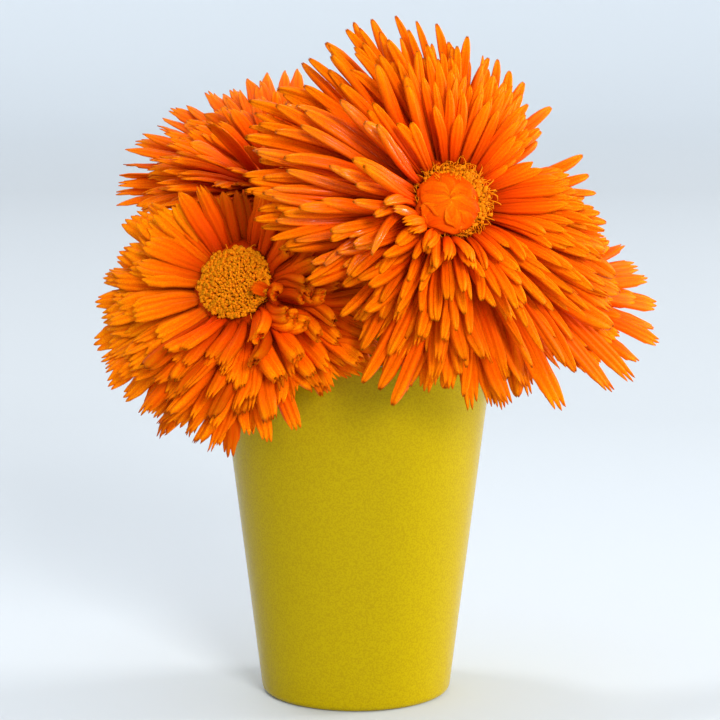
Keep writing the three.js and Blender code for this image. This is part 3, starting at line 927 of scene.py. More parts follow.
def petals_of(bloom, head, kinds):
    """All petals of a bloom: the spiral's, those that lean in, and those that stand clear of its outline."""
    draw = random.Random(bloom["name"])
    petals = []
    for index in range(bloom["petals"]):
        share = (index + 0.5) / bloom["petals"]
        clock = index * GOLDEN_ANGLE + draw.uniform(-CLOCK_STRAY, CLOCK_STRAY)
        petal = ruled_petal(bloom, share, clock, draw)
        if give_kind(bloom, petal, share, kinds, draw):
            bend_clear(bloom, head, petal)
            petals.append(petal)
    petals += [leaning_petal(*leaning, kinds, draw) for leaning in bloom["leaning"]]
    for kind, pixels in bloom["tips"].items():
        for pixel in pixels:
            petal, share = aimed_petal(bloom, head, pixel, draw)
            give_kind(bloom, petal, share, kinds, draw, kind)
            petal["curl"] *= AIMED_CURL
            petal["sway"] = 0
            petals.append(petal)
    return petals


ANGLES = ("clock", "pitch", "bend", "roll", "curl")
PETAL_NUMBERS = (*ANGLES, "root_radius", "root_height", "length", "sway", "shade", "gloss", "width")


def petal_seats(petals):
    """A mesh of one point for each petal, which carries the petal's numbers, with its angles in radians."""
    mesh = bpy.data.meshes.new("petal seats")
    mesh.from_pydata([(0, 0, 0)] * len(petals), [], [])
    for name in PETAL_NUMBERS:
        values = [math.radians(petal[name]) if name in ANGLES else petal[name] for petal in petals]
        mesh.attributes.new(name, "FLOAT", "POINT").data.foreach_set("value", values)
    kind = mesh.attributes.new("kind", "INT", "POINT")
    kind.data.foreach_set("value", [petal["kind"] for petal in petals])
    return mesh


def attribute_of(tree, name, kind="FLOAT"):
    return add_node(tree, "GeometryNodeInputNamedAttribute", data_type=kind, Name=name)["Attribute"]


def petal_tree():
    """Puts a petal shape on every seat and bends it along the line that the seat's numbers give."""
    tree, start, end = new_tree("petals in whorls", "GeometryNodeTree", {
        "Seats": "Geometry", "Shapes": "Collection", "Core": "Object", "Curl starts": "Float",
        "Crinkle": "Float", "Crinkle detail": "Float", "Finish": "Material",
    }, {"Petals": "Geometry"})
    placed = add_node(
        tree, "GeometryNodeInstanceOnPoints", start["Seats"], Instance=separate_shapes(tree, start["Shapes"]),
        Pick_Instance=True, Instance_Index=attribute_of(tree, "kind", "INT"))
    real = add_node(tree, "GeometryNodeRealizeInstances", placed)
    own = split(tree, add_node(tree, "GeometryNodeInputPosition"))
    across, share, lift = own["X"], own["Y"], own["Z"]
    numbers = {name: attribute_of(tree, name) for name in PETAL_NUMBERS}
    bend, first, length = numbers["bend"], numbers["pitch"], numbers["length"]
    clock, roll, width = numbers["clock"], numbers["roll"] * share, numbers["width"]
    hinge = start["Curl starts"]

    steepening = bend + numbers["curl"] / (hinge * -1 + 1)
    middle = first + bend * share.at_most(hinge)
    last = middle + steepening * (share - hinge).at_least(0)
    out_share = (middle.sine() - first.sine()) / bend + (last.sine() - middle.sine()) / steepening
    up_share = (first.cosine() - middle.cosine()) / bend + (middle.cosine() - last.cosine()) / steepening
    sideways = (across * roll.cosine() - lift * roll.sine()) * width
    sideways = sideways + numbers["sway"] * length * share * share
    facing = (across * roll.sine() + lift * roll.cosine()) * width
    radius = numbers["root_radius"] + length * out_share - facing * last.sine()
    height = numbers["root_height"] + length * up_share + facing * last.cosine()
    spot = vector_of(
        tree, clock.sine() * radius + clock.cosine() * sideways,
        clock.cosine() * radius - clock.sine() * sideways, height)
    bent = add_node(tree, "GeometryNodeSetPosition", real, Position=spot)

    rough = add_node(tree, "ShaderNodeTexNoise", Scale=start["Crinkle detail"], Detail=1.0)["Color"]
    centred = add_node(tree, "ShaderNodeVectorMath", rough, (0.5, 0.5, 0.5), operation="SUBTRACT")
    offset = add_node(tree, "ShaderNodeVectorMath", centred, operation="SCALE", Scale=start["Crinkle"])
    crinkled = add_node(tree, "GeometryNodeSetPosition", bent, Offset=offset)
    put_out(tree, end, start["Finish"], geometry_of(tree, start["Core"]), crinkled)
    return tree


# Finishes, in linear colours


def new_material(name, **plain):
    """A material, its node tree and its shader's entries, with those set that are the same all over."""
    material = bpy.data.materials.new(name)
    material.use_nodes = True
    shader = material.node_tree.nodes["Principled BSDF"].inputs
    for entry, value in plain.items():
        shader[entry.replace("_", " ")].default_value = value
    return material, material.node_tree, shader


def dress(shader, colour, roughness, relief, strength, depth):
    """Feeds a shader its colour and roughness, and a relief of some strength and depth."""
    feed(shader["Base Color"], colour)
    feed(shader["Roughness"], roughness)
    bump = add_node(
        shader["Normal"].id_data, "ShaderNodeBump", Height=relief, Strength=strength, Distance=depth)
    feed(shader["Normal"], bump)


def colour_ramp(stops, value):
    """Colours along a value, from {place: colour}."""
    ramp = add_node(value.socket.id_data, "ShaderNodeValToRGB", value)
    elements = ramp.socket.node.color_ramp.elements
    for place, colour in stops.items():
        known = [element for element in elements if abs(element.position - place) < 1e-6]
        element = known[0] if known else elements.new(place)
        element.color = (*colour, 1)
    return ramp


def mixed(share, first, second):
    """A colour between two, by a share that changes over the surface."""
    node = share.socket.id_data.nodes.new("ShaderNodeMix")
    node.data_type = "RGBA"
    for entry, value in ((0, share), (6, first), (7, second)):
        feed(node.inputs[entry], (*value, 1) if isinstance(value, tuple) else value)
    return Value(node.outputs[2])


def streaks_group():
    """Fine lengthwise streaks of plant tissue, from a UV map with V along the growth."""
    tree, start, end = new_tree("growth streaks", "ShaderNodeTree", {
        "UV": "Vector", "Own": "Float", "Streaks across": "Float", "Streaks along": "Float",
    }, dict.fromkeys(("Streak", "Height", "Edge", "Furrow"), "Float"))
    flat = split(tree, start["UV"])
    stretched = vector_of(
        tree, flat["X"] * start["Streaks across"], flat["Y"] * start["Streaks along"],
        start["Own"] * STREAKS_APART)
    streak = add_node(tree, "ShaderNodeTexNoise", Vector=stretched, Scale=1.0, Detail=3.0)["Fac"]
    middle = flat["X"] - 0.5
    ribs = (middle * (2 * math.pi * RIBS_ACROSS) + streak).cosine() * 0.5
    feed(end["Streak"], streak)
    feed(end["Height"], streak + ribs)
    feed(end["Furrow"], ribs * -1 + 0.5)
    feed(end["Edge"], (middle * middle * 4).to_power(RIM_POWER))
    return tree


def mottle_group():
    """Soft blotches and fine grain on Object coordinates."""
    tree, start, end = new_tree(
        "mottling", "ShaderNodeTree", {"Blotches per metre": "Float", "Grains per metre": "Float"},
        {"Blotch": "Float", "Grain": "Float"})
    place = add_node(tree, "ShaderNodeTexCoord")["Object"]
    noises = {"Blotch": ("Blotches per metre", 2.0), "Grain": ("Grains per metre", 1.0)}
    for way_out, (number, detail) in noises.items():
        noise = add_node(tree, "ShaderNodeTexNoise", Vector=place, Scale=start[number], Detail=detail)
        feed(end[way_out], noise["Fac"])
    return tree


growth_streaks = streaks_group()
mottling = mottle_group()


def flat_place(tree):
    return add_node(tree, "ShaderNodeUVMap", uv_map="UVMap")


def streaked(tree, own, across, along):
    return add_node(
        tree, "ShaderNodeGroup", node_tree=growth_streaks, UV=flat_place(tree), Own=own,
        Streaks_across=across, Streaks_along=along)


def mottled(tree, blotches, grains):
    return add_node(
        tree, "ShaderNodeGroup", node_tree=mottling, Blotches_per_metre=blotches, Grains_per_metre=grains)


def petal_finish():
    """Petal tissue: orange, yellower at the tip and on older petals, and deep red toward the root, partly its
    own colour and partly painted shade where the roots lie deep in the head.
    """
    material, tree, shader = new_material(
        "orange petal", Subsurface_Weight=0.12, Subsurface_Radius=(1, 0.25, 0.03), Subsurface_Scale=0.0012,
        Specular_IOR_Level=0.02, Specular_Tint=(1, 0.7, 0.3, 1), Coat_Roughness=0.15)
    shade, underside, gloss = (
        add_node(tree, "ShaderNodeAttribute", attribute_name=name)["Fac"]
        for name in ("shade", "underside", "gloss"))
    along = split(tree, flat_place(tree))["Y"]
    streaks = streaked(tree, shade, 16.0, 2.4)
    streak, furrow, edge = streaks["Streak"], streaks["Furrow"], streaks["Edge"]
    grain = mottled(tree, 300.0, 3200.0)["Grain"]
    aged = shade.at_most(1)

    # Toward the root the ramp darkens to deep red: partly the tissue's colour, partly painted shade deep in
    # the head
    colour = colour_ramp({
        0: (0.16, 0.006, 0.0002), 0.25: (0.6, 0.034, 0.0003), 0.55: (0.95, 0.09, 0.0004),
        0.82: (1, 0.16, 0.0005), 0.96: (1, 0.26, 0.0008), 1: (0.7, 0.14, 0.0006)}, along)
    ripe_yellow = (0.87, 0.25, 0.0008)
    colour = mixed((aged * aged * aged) * (along * 0.7 + 0.15), colour, ripe_yellow)
    pale_root = (1, 0.2, 0.0008)
    colour = mixed((shade - 1).at_least(0) * (along * -0.9 + 1), colour, pale_root)
    red_streak = (0.7, 0.05, 0.0005)
    colour = mixed(((streak - 0.5) * 3).at_least(0).at_most(0.55), colour, red_streak)
    # The margins, and the seam of rolled petals, take a painted highlight that is paler toward the tip and on
    # older petals, and painted shade near the root
    bright = (aged * 0.5 + along * 0.9 - 0.2).at_least(0).at_most(1)
    rim_light_and_shade = mixed(bright, (0.5, 0.04, 0.0003), (1, 0.3, 0.004))
    colour = mixed(edge * 0.5, colour, rim_light_and_shade)
    # Shades below 0 mix in painted shade, on petals in the shadow of others and on the bud
    painted_shade_colour = (0.22, 0.026, 0.0003)
    colour = mixed((shade * -1).at_least(0), colour, painted_shade_colour)
    # Painted shade in the furrows between the ribs
    furrow_shade = (0.6, 0.035, 0.0003)
    colour = mixed(furrow * furrow * 0.32, colour, furrow_shade)
    dull_back = (0.6, 0.1, 0.001)
    colour = mixed(underside * 0.4, colour, dull_back)
    red_grain = (0.62, 0.035, 0.0003)
    colour = mixed(((grain - 0.45) * 2.4).at_least(0).at_most(0.3), colour, red_grain)
    dress(shader, colour, streak * 0.2 + 0.3, streaks["Height"] + grain * 0.2, 0.5, 0.0003)
    feed(shader["Coat Weight"], gloss * (edge * 0.9 + 0.3))
    return material


def floret_finish():
    """Tube florets: golden lobes, darkening toward their feet to dark ochre as painted shade deep between
    them.
    """
    material, tree, shader = new_material(
        "golden florets", Subsurface_Weight=0.2, Subsurface_Radius=(1, 0.5, 0.1), Subsurface_Scale=0.001,
        Specular_IOR_Level=0.06)
    mottle = mottled(tree, 420.0, 2600.0)
    up = split(tree, flat_place(tree))["Y"]
    # Low on a floret the ramp is dark: painted shade deep between the florets
    colour = colour_ramp({
        0: (0.1, 0.02, 0.0005), 0.35: (0.46, 0.1, 0.0005),
        0.75: (0.82, 0.2, 0.0006), 1: (0.95, 0.3, 0.001)}, up)
    colour = mixed(mottle["Blotch"] * 0.5, colour, (0.9, 0.2, 0.0006))
    dress(shader, colour, mottle["Grain"] * 0.2 + 0.5, mottle["Grain"], 0.4, 0.0002)
    return material


def green_finish():
    """Calyx and stem: grey-green skin with paler ribs."""
    material, tree, shader = new_material(
        "green stem", Subsurface_Weight=0.15, Subsurface_Radius=(0.4, 1, 0.1), Subsurface_Scale=0.001)
    streaks = streaked(tree, 0.0, 22.0, 3.0)
    mottle = mottled(tree, 160.0, 1500.0)
    colour = mixed(streaks["Streak"], (0.13, 0.24, 0.035), (0.3, 0.42, 0.1))
    colour = mixed(mottle["Blotch"] * 0.5, colour, (0.2, 0.26, 0.06))
    dress(shader, colour, mottle["Grain"] * 0.2 + 0.48, streaks["Height"], 0.4, 0.0002)
    return material


def glaze_finish():
    """Satin yellow glaze with a faint mottle and a fine grain."""
    material, tree, shader = new_material("yellow glaze", Specular_IOR_Level=0.06)
    mottle = mottled(tree, 30.0, 2400.0)
    grain = mottle["Grain"]
    colour = mixed(mottle["Blotch"], (0.4, 0.29, 0.0005), (0.43, 0.31, 0.0005))
    colour = mixed(((grain - 0.42) * 3).at_least(0).at_most(0.6), colour, (0.3, 0.19, 0.001))
    dress(shader, colour, grain * 0.1 + 0.16, grain, 0.08, 0.0001)
    return material


def water_finish():
    """Clear water with a faint green-brown cast from the stems and a barely uneven surface."""
    material, tree, shader = new_material("water", Transmission_Weight=1, IOR=1.33)
    mottle = mottled(tree, 30.0, 200.0)
    colour = mixed(mottle["Blotch"], (0.9, 0.95, 0.9), (0.95, 0.98, 0.97))
    dress(shader, colour, mottle["Grain"] * 0.03, mottle["Blotch"], 0.05, 0.0004)
    return material


def sweep_finish():
    """A pale ground, a little darker outside the middle, and paler again out where it rises: painted shade
    that tones down the floor beyond the middle, where lamps and daylight light it strongly, and painted light
    up the wall, which they reach less.
    """
    material, tree, shader = new_material("pale sweep", Roughness=0.7, Specular_IOR_Level=0.25)
    mottle = mottled(tree, 2.0, 60.0)
    place = add_node(tree, "ShaderNodeTexCoord")["Object"]
    out = add_node(tree, "ShaderNodeVectorMath", place, operation="LENGTH")["Value"]
    colour = mixed(mottle["Blotch"], (0.61, 0.655, 0.695), (0.64, 0.685, 0.725))
    # Painted shade on the floor beyond the middle
    colour = mixed(((out - 0.1) * 3).at_least(0).at_most(1), colour, (0.55, 0.59, 0.625))
    # Painted light on the far floor and up the wall
    colour = mixed(((out - 1.8) / 3).at_least(0).at_most(1), colour, (0.83, 0.9, 0.96))
    feed(shader["Base Color"], colour)
    return material


orange_petal = petal_finish()
golden_floret = floret_finish()
green_stem = green_finish()


# The tumbler and its water


def stand_for(piece, node):
    """A finished piece rides on the one body, in place of a node of the model."""
    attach(piece, "root")
    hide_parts(node)


def outer_radius(height):
    return mix(VASE_FOOT_RADIUS, VASE_RIM_RADIUS, height / VASE_HEIGHT)


def inner_radius(height):
    return outer_radius(height) - VASE_WALL


def vase_mesh():
    """From the hollow underside round the foot, up the wall, over the lip and down to the inner floor."""
    foot = (VASE_FOOT_RADIUS, 0)
    outer_rim = (VASE_RIM_RADIUS, VASE_HEIGHT)
    inner_rim = (inner_radius(VASE_HEIGHT), VASE_HEIGHT)
    inner_floor = (inner_radius(VASE_FLOOR), VASE_FLOOR)
    heights = [VASE_HEIGHT * step / VASE_WALL_STEPS for step in range(1, VASE_WALL_STEPS)]
    profile = [(0, HOLLOW_DEPTH), (0.5 * HOLLOW_RADIUS, HOLLOW_DEPTH)]
    profile += [(HOLLOW_RADIUS, HOLLOW_DEPTH - 0.1 * MM), (HOLLOW_RADIUS + 0.8 * MM, 0)]
    profile += rounded(foot, (0, 0), outer_rim, FOOT_ROUNDING)
    profile += [(outer_radius(height), height) for height in heights]
    profile += rounded(outer_rim, foot, inner_rim, LIP_ROUNDING)
    profile += rounded(inner_rim, outer_rim, inner_floor, LIP_ROUNDING)
    profile += rounded(inner_floor, inner_rim, (0, VASE_FLOOR), FLOOR_ROUNDING)
    profile += [(0.5 * VASE_FOOT_RADIUS, VASE_FLOOR), (0, VASE_FLOOR)]
    return turned_mesh("vase", profile, VASE_SIDES)


def water_mesh():
    """Water that fills the vase just clear of its wall, and climbs a little where it meets it."""
    low = VASE_FLOOR + WATER_GAP
    shoulder = low + WATER_SHOULDER
    fill = inner_radius(WATER_LEVEL) - WATER_GAP
    profile = [(0, low), (inner_radius(VASE_FLOOR) - FLOOR_ROUNDING, low)]
    profile += [(inner_radius(shoulder) - 0.4 * MM, shoulder)]
    profile += [(inner_radius(height * MM) - WATER_GAP, height * MM) for height in WATER_RINGS]
    profile += [(fill - inward * MM, WATER_LEVEL + above * MM) for inward, above in WATER_CLIMB]
    profile += [(0.5 * fill, WATER_LEVEL), (0, WATER_LEVEL)]
    return turned_mesh("water", profile, WATER_SIDES)


vase = put_in_scene("vase_glazed", vase_mesh())
vase.data.materials.append(glaze_finish())
stand_for(vase, "vase")

water = put_in_scene("water_fill", water_mesh())
water.data.materials.append(water_finish())
stand_for(water, "water")


# Discs of tube florets


def floret_shape(tube, spread, lobe_lift, curl):
    """A tube floret: five pointed lobes round a throat, in floret heights."""
    sides = 2 * FLORET_LOBES
    rings = [(tube, tube, 0), (spread, 0.6 * spread, lobe_lift)]
    rings += [(0.5 * tube, 0.5 * tube, lobe_lift - curl), (0.12, 0.12, 0.95)]
    points, places = [], []
    for wide, narrow, height in rings:
        for side in range(sides):
            points.append(round_point(side, sides, narrow if side % 2 else wide, height))
            places.append((side / sides, min(1, max(0, height))))
    return plain_mesh("floret", points, tube_faces(len(rings), sides), places)


def style_shape():
    """A thin style that curls over at its end, in floret heights."""
    sides = 4
    rings = 8
    points, places = [], []
    for ring in range(rings):
        share = ring / (rings - 1)
        angle = STYLE_CURL * share
        aside = STYLE_CURL_RADIUS * (1 - math.cos(angle))
        middle = Vector((aside, 0, STYLE_RISE * share + STYLE_CURL_RADIUS * math.sin(angle)))
        for side in range(sides):
            points.append(middle + Vector(round_point(side, sides, mix(*STYLE_RADII, share), 0)))
            places.append((side / sides, mix(*STYLE_TONES, share)))
    return plain_mesh("style", points, tube_faces(rings, sides), places)


def random_of(tree, seed, low=0.0, high=1.0):
    """A random number, or a vector of them, for each point."""
    kind, first, way_out = ("FLOAT_VECTOR", 0, 0) if isinstance(low, tuple) else ("FLOAT", 2, 1)
    made = add_node(tree, "FunctionNodeRandomValue", data_type=kind, Seed=seed)
    for place, value in enumerate((low, high)):
        feed(made.socket.node.inputs[first + place], value)
    return made[way_out]


def disc_tree():
    """Sets florets in a golden-angle spiral on the crown of a disc, the open ones outside."""
    tree, start, end = new_tree("florets on a disc", "GeometryNodeTree", {
        "Crown": "Geometry", "Shapes": "Collection", "Florets": "Int", "Disc radius": "Float",
        "Crown height": "Float", "Floret height": "Float", "Stray": "Float", "Curled": "Float", "Seed": "Int",
        "Finish": "Material",
    }, {"Disc": "Geometry"})
    seed = start["Seed"]
    index = add_node(tree, "GeometryNodeInputIndex")
    share = (index + 0.5) / start["Florets"]
    angle = index * math.radians(GOLDEN_ANGLE)
    radius = share.to_power(0.5) * start["Disc radius"]
    rise = (share * -CROWN_FALL + 1).to_power(0.5)
    spot = vector_of(tree, radius * angle.cosine(), radius * angle.sine(), rise * start["Crown height"])
    line = add_node(tree, "GeometryNodeMeshLine", Count=start["Florets"])
    seats = add_node(tree, "GeometryNodeSetPosition", line, Position=spot)

    lean = random_of(tree, seed, (-1, -1, -1), (1, 1, 1))
    stray = add_node(tree, "ShaderNodeVectorMath", lean, operation="SCALE", Scale=start["Stray"])
    outward = vector_of(
        tree, angle.cosine() * share * LEAN_OUTWARD, angle.sine() * share * LEAN_OUTWARD, 1.0)
    aim = add_node(tree, "ShaderNodeVectorMath", outward, stray, operation="ADD")
    spin = random_of(tree, seed, (0, 0, 0), (0, 0, 2 * math.pi))
    turn = add_node(tree, "FunctionNodeAlignRotationToVector", axis="Z", Rotation=spin, Vector=aim)
    youth = share * -PICK_FALL + PICK_AT_MIDDLE - start["Curled"]
    pick = (random_of(tree, seed) * PICK_VARIES + youth).rounded_down()
    pick = pick.at_most(len(FLORET_SIZES)).at_least(0)
    placed = add_node(
        tree, "GeometryNodeInstanceOnPoints", seats, Instance=separate_shapes(tree, start["Shapes"]),
        Pick_Instance=True, Instance_Index=pick, Rotation=turn,
        Scale=random_of(tree, seed, SMALLEST_FLORET, LARGEST_FLORET) * start["Floret height"])
    put_out(tree, end, start["Finish"], start["Crown"], placed)
    return tree


def crown_mesh():
    """The low dome that the florets stand on."""
    profile = [(0, -BELOW_CROWN), (FLORETS_RADIUS + CROWN_MARGIN, -BELOW_CROWN)]
    for step in range(CROWN_STEPS, -1, -1):
        share = step / CROWN_STEPS
        profile.append((share * FLORETS_RADIUS, CROWN_HEIGHT * math.sqrt(1 - CROWN_FALL * share ** 2)))
    return turned_mesh("crown", profile, HEAD_SIDES)


# Receptacles, buds, calyx cups, bracts and stems


def core_mesh():
    """The receptacle under the petals."""
    profile = [(0, -CORE_DROP), (CORE_BOTTOM_RADIUS, -CORE_DROP), (CORE_WIDEST_RADIUS, -CORE_WIDEST_DROP)]
    profile += [(CORE_TOP_RADIUS, -CORE_TOP_DROP), (0, -CORE_TOP_DROP)]
    return turned_mesh("core", profile, HEAD_SIDES)


def dome_height(out, radius, height):
    return height * max(0, 1 - (out / radius) ** DOME_ROUNDNESS) ** 0.5


def furled_petal(radius, height, layer, clock, half_width, length, swing, loose):
    """Points, flat places and faces of a young petal that lies over a dome from its rim to past its peak."""
    inward = -Vector((math.sin(math.radians(clock)), math.cos(math.radians(clock))))
    aside = Vector((inward.y, -inward.x))
    points, places = [], []
    for above in (BUD_THICKNESS, 0):
        for row in range(BUD_ROWS):
            share = row / (BUD_ROWS - 1)
            blunt = math.sqrt(max(0.01, 1 - share ** 4))
            half = half_width * radius * blunt * mix(0.6, 1, min(1, 2.5 * share))
            for column in range(BUD_COLUMNS + 1):
                place = 2 * column / BUD_COLUMNS - 1
                wavy = place * (1 + BUD_WAVY * math.sin(11 * share + clock))
                flat = inward * radius * (length * share - BUD_ROOTS) + aside * half * (wavy + swing * share)
                outline = radius * (1 + BUD_RAGGED * math.sin(7 * share + 2 * place + clock))
                flat *= min(1, outline / flat.length)
                margin = abs(loose) * max(0, place * math.copysign(1, loose)) ** 3 * math.sin(math.pi * share)
                lift = BUD_LAYER * (layer + 1) * mix(0.5, 1, share) + margin + above
                arched = dome_height(flat.length, BUD_ARCH * radius, height)
                points.append(Vector((*flat, arched + lift)) * MM)
                places.append((0.5 + 0.47 * place, mix(*BUD_TONES, share)))
    return points, places, skin_faces(BUD_ROWS, BUD_COLUMNS)


def bud_mesh(radius, height):
    """Young petals that overlap and close over a low dome."""
    points, places, faces = [], [], []
    for layer, leaf in enumerate(BUD_PETALS):
        leaf_points, leaf_places, leaf_faces = furled_petal(radius, height, layer, *leaf)
        faces += [tuple(corner + len(points) for corner in face) for face in leaf_faces]
        points += leaf_points
        places += leaf_places
    return plain_mesh("bud", points, faces, places)


def bud_dome(radius, height):
    """The closed dome under the furled petals."""
    profile = [(0, -BELOW_CROWN)]
    for step in range(DOME_STEPS, -1, -1):
        out = BUD_ROOTS * radius * step / DOME_STEPS
        profile.append((out * MM, dome_height(out, radius, height) * MM))
    return turned_mesh("dome", profile, HEAD_SIDES)


def core_object(bloom):
    """The core of a bloom, with its bud if it has one, as one object for the petals' tree."""
    # The core, and the dome under a bud, are painted with the dark root colour as shade
    mesh = painted_in_shade(core_mesh())
    if bloom["bud"]:
        across, up, radius, height = bloom["bud"]
        whole = bmesh.new()
        whole.from_mesh(mesh)
        for part in (painted_in_shade(bud_dome(radius, height)), bud_mesh(radius, height)):
            part.transform(Matrix.Translation(Vector((across, up, 0)) * MM))
            whole.from_mesh(part)
        whole.to_mesh(mesh)
        whole.free()
    # BUD_SHADE paints shade over the core and the bud
    shades = mesh.attributes.new("shade", "FLOAT", "POINT")
    shades.data.foreach_set("value", [BUD_SHADE] * len(mesh.vertices))
    return bpy.data.objects.new("core", mesh)


def cup_mesh():
    """The green cup of the calyx, which narrows into the stem."""
    foot = CUP_TOP - CUP_DEPTH - CUP_FOOT_DEPTH
    profile = [(0, foot), (STEM_RADIUS, foot)]
    for step in range(CUP_STEPS + 1):
        share = step / CUP_STEPS
        full = math.sin(0.5 * math.pi * share) ** CUP_FULLNESS
        radius = mix(CUP_NECK_RADIUS, CORE_BOTTOM_RADIUS + CUP_MARGIN, full)
        profile.append((radius, CUP_TOP - CUP_DEPTH * (1 - share)))
    profile.append((0, CUP_TOP))
    return turned_mesh("cup", profile, HEAD_SIDES, CUP_RIBS, CUP_RIB_DEPTH)


def bracts_of(draw):
    """Two rings of narrow bracts that clasp the petals' roots from below, with the numbers of petals."""
    bracts = []
    for ring in range(2):
        for index in range(BRACTS_IN_RING):
            bracts.append({
                "clock": (index + 0.5 * ring) * 360 / BRACTS_IN_RING + draw.uniform(*BRACT_CLOCK),
                "root_radius": BRACT_ROOT_RADIUS,
                "root_height": -CORE_DROP - (BRACT_DROP - BRACT_RING_RISE * ring) * MM,
                "length": draw.uniform(*BRACT_LENGTH) * MM,
                "pitch": draw.uniform(*BRACT_PITCH) - BRACT_RING_FALL * ring,
                "bend": draw.uniform(*BRACT_BEND),
                "curl": draw.uniform(*BRACT_CURL),
                "roll": 0,
                "sway": draw.uniform(*BRACT_SWAY),
                "shade": draw.random(),
                "gloss": 0,
                "width": draw.uniform(*BRACT_WIDTH) * MM,
                "kind": 0,
            })
    return bracts


def hair_mesh():
    """One tapering plant hair, a unit long."""
    points = [(0.05, 0, 0), (-0.025, 0.043, 0), (-0.025, -0.043, 0), (0, 0, 1)]
    return plain_mesh("hair", points, [(0, 1, 3), (1, 2, 3), (2, 0, 3), (0, 2, 1)])


def stem_tree():
    """A round stem along a path, with the calyx at its end, and short hairs all over."""
    tree, start, end = new_tree("stem and calyx", "GeometryNodeTree", {
        "Path": "Geometry", "Calyx": "Object", "Hair": "Object", "Stem radius": "Float",
        "Hairs per square metre": "Float", "Hair length": "Float", "Seed": "Int", "Finish": "Material",
    }, {"Stem": "Geometry"})
    line = add_node(tree, "GeometryNodeMeshToCurve", start["Path"])
    ring = add_node(tree, "GeometryNodeCurvePrimitiveCircle", Resolution=16, Radius=start["Stem radius"])
    tube = add_node(tree, "GeometryNodeCurveToMesh", line, Profile_Curve=ring, Fill_Caps=True)
    whole = joined(tree, geometry_of(tree, start["Calyx"]), tube)
    smooth = add_node(tree, "GeometryNodeSetShadeSmooth", whole)
    roots = add_node(
        tree, "GeometryNodeDistributePointsOnFaces", smooth, Density=start["Hairs per square metre"],
        Seed=start["Seed"])
    hairs = add_node(
        tree, "GeometryNodeInstanceOnPoints", roots["Points"], Instance=geometry_of(tree, start["Hair"]),
        Rotation=roots["Rotation"], Scale=start["Hair length"])
    put_out(tree, end, start["Finish"], smooth, hairs)
    return tree


def curve_point(corners, knots, at):
    """A point of a Catmull-Rom stretch through the middle two of four corners."""
    for span in (1, 2):
        corners = [
            low.lerp(high, (at - knots[place]) / (knots[place + span] - knots[place]))
            for place, (low, high) in enumerate(zip(corners, corners[1:]))
        ]
    return corners[0].lerp(corners[1], (at - knots[1]) / (knots[2] - knots[1]))


def smooth_path(points, steps):
    """Points of a centripetal Catmull-Rom curve through the given points."""
    ends = [2 * points[0] - points[1], *points, 2 * points[-1] - points[-2]]
    path = []
    for corners in zip(ends, ends[1:], ends[2:], ends[3:]):
        knots = [0]
        for near, far in zip(corners, corners[1:]):
            knots.append(knots[-1] + (far - near).length ** 0.5)
        for step in range(steps):
            path.append(curve_point(corners, knots, mix(knots[1], knots[2], step / steps)))
    path.append(points[-1])
    return path


def stem_path(bloom, head):
    """The stem's middle line, from the vase's floor past the rim and into the cup."""
    across, back = (place * MM for place in bloom["foot"])
    path = smooth_path([
        Vector((across, back, STEM_FOOT)),
        Vector((across, back, STEM_FOOT + STEM_UPRIGHT)),
        Vector(bloom["neck"]) * MM,
        head @ Vector((0, 0, -CORE_DROP - CUP_DEPTH - STEM_STRAIGHT)),
        head @ Vector((0, 0, -CORE_DROP - 0.5 * CUP_DEPTH)),
    ], STEM_STEPS)
    mesh = bpy.data.meshes.new("path")
    mesh.from_pydata(path, [(place, place + 1) for place in range(len(path) - 1)], [])
    return mesh


# Putting the blooms together

petal_collection, kinds = petal_shapes()
florets = [floret_shape(*sizes) for sizes in FLORET_SIZES]
floret_collection = collected("floret shape", [style_shape(), *florets])
bract = sheet_petal(BRACT_COLUMNS, BRACT_WIDTHS, BRACT_FOLDS, 0, 0, 0, BRACT_ROWS, BRACT_THICKNESS)
bract_collection = collected("bract shape", [bract])
petals_in_whorls = petal_tree()
florets_on_disc = disc_tree()
stem_and_calyx = stem_tree()
hair = bpy.data.objects.new("hair", hair_mesh())
cup = bpy.data.objects.new("cup", cup_mesh())

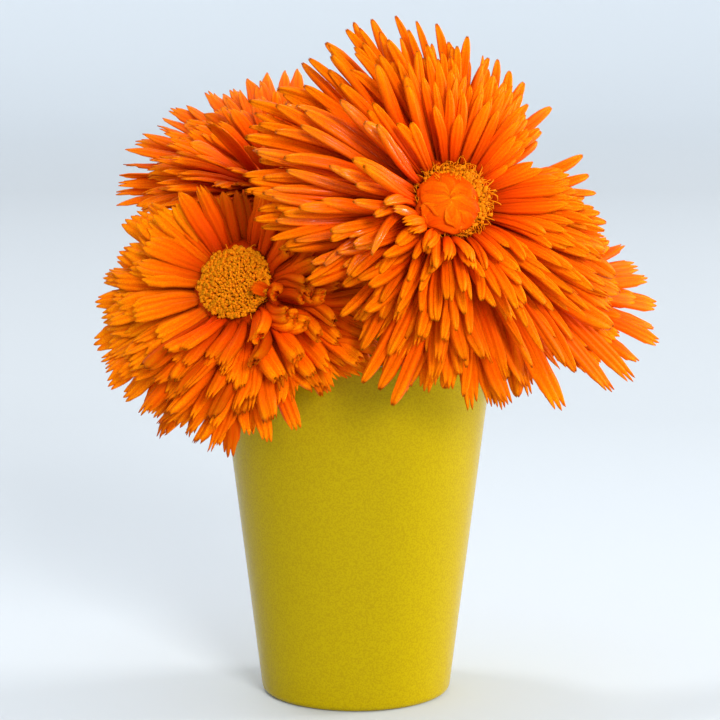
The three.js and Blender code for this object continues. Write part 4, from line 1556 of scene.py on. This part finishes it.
for place, own in enumerate(BLOOMS):
    bloom = {**USUAL, **own}
    name = bloom["name"]
    head = head_matrix(bloom)

    petals = grown(f"{name}_petal_whorls", petal_seats(petals_of(bloom, head, kinds)), petals_in_whorls, {
        "Shapes": petal_collection, "Core": core_object(bloom), "Curl starts": CURL_STARTS,
        "Crinkle": bloom["crinkle"] * MM, "Crinkle detail": CRINKLE_DETAIL, "Finish": orange_petal})
    petals.data.transform(head)
    stand_for(petals, f"{name}_petals")

    count, floret_height, stray, curled = bloom["florets"]
    disc = grown(f"{name}_floret_disc", crown_mesh(), florets_on_disc, {
        "Shapes": floret_collection, "Florets": count, "Disc radius": FLORETS_RADIUS,
        "Crown height": CROWN_HEIGHT, "Floret height": floret_height * MM, "Stray": stray, "Curled": curled,
        "Seed": place, "Finish": golden_floret})
    disc.data.transform(head)
    stand_for(disc, f"{name}_disc")

    bracts = bracts_of(random.Random(f"{name} calyx"))
    calyx = grown(f"{name}_calyx", petal_seats(bracts), petals_in_whorls, {
        "Shapes": bract_collection, "Core": cup, "Curl starts": CURL_STARTS,
        "Crinkle": BRACT_CRINKLE, "Crinkle detail": BRACT_CRINKLE_DETAIL, "Finish": green_stem})
    calyx.data.transform(head)
    stem = grown(f"{name}_calyx_stem", stem_path(bloom, head), stem_and_calyx, {
        "Calyx": calyx, "Hair": hair, "Stem radius": STEM_RADIUS,
        "Hairs per square metre": HAIRS_PER_SQUARE_METRE, "Hair length": HAIR_LENGTH, "Seed": place,
        "Finish": green_stem})
    bpy.data.objects.remove(calyx)
    stand_for(stem, f"{name}_stem")


# The stage


def sweep_mesh():
    """A floor that curves up into a wall all round."""
    profile = [(SWEEP_FLAT_RADIUS * share, 0) for share in (0.1, 0.3, 0.6, 1)]
    for step in range(1, SWEEP_BEND_STEPS + 1):
        angle = 0.5 * math.pi * step / SWEEP_BEND_STEPS
        out = SWEEP_FLAT_RADIUS + SWEEP_BEND_RADIUS * math.sin(angle)
        profile.append((out, SWEEP_BEND_RADIUS * (1 - math.cos(angle))))
    profile.append((SWEEP_FLAT_RADIUS + SWEEP_BEND_RADIUS, SWEEP_HEIGHT))
    sides = range(SWEEP_SIDES)
    points = [(0, 0, 0)]
    points += [round_point(side, SWEEP_SIDES, radius, height) for radius, height in profile for side in sides]
    bands = band_faces(len(profile), SWEEP_SIDES)
    faces = [tuple(corner + 1 for corner in reversed(face)) for face in bands]
    faces += [(0, 1 + side, 1 + (side + 1) % SWEEP_SIDES) for side in sides]
    return plain_mesh("sweep", points, faces)


def add_light(name, place, size, power, colour):
    """A square soft light that shines at the blooms, and that the camera doesn't see."""
    data = bpy.data.lights.new(name, "AREA")
    data.size = size
    data.energy = power
    data.color = colour
    light = put_in_scene(name, data)
    light.location = place
    light.visible_camera = False
    light.rotation_euler = (LIGHTS_AIM - Vector(place)).to_track_quat("-Z", "Y").to_euler()


sweep = put_in_scene("sweep", sweep_mesh())
sweep.data.materials.append(sweep_finish())

world = bpy.data.worlds.new("soft daylight")
world.use_nodes = True
background = world.node_tree.nodes["Background"].inputs
background["Color"].default_value = DAYLIGHT
background["Strength"].default_value = DAYLIGHT_STRENGTH
bpy.context.scene.world = world
for name, sizes in LIGHTS.items():
    add_light(name, *sizes)
bpy.context.scene.view_settings.view_transform = "Standard"
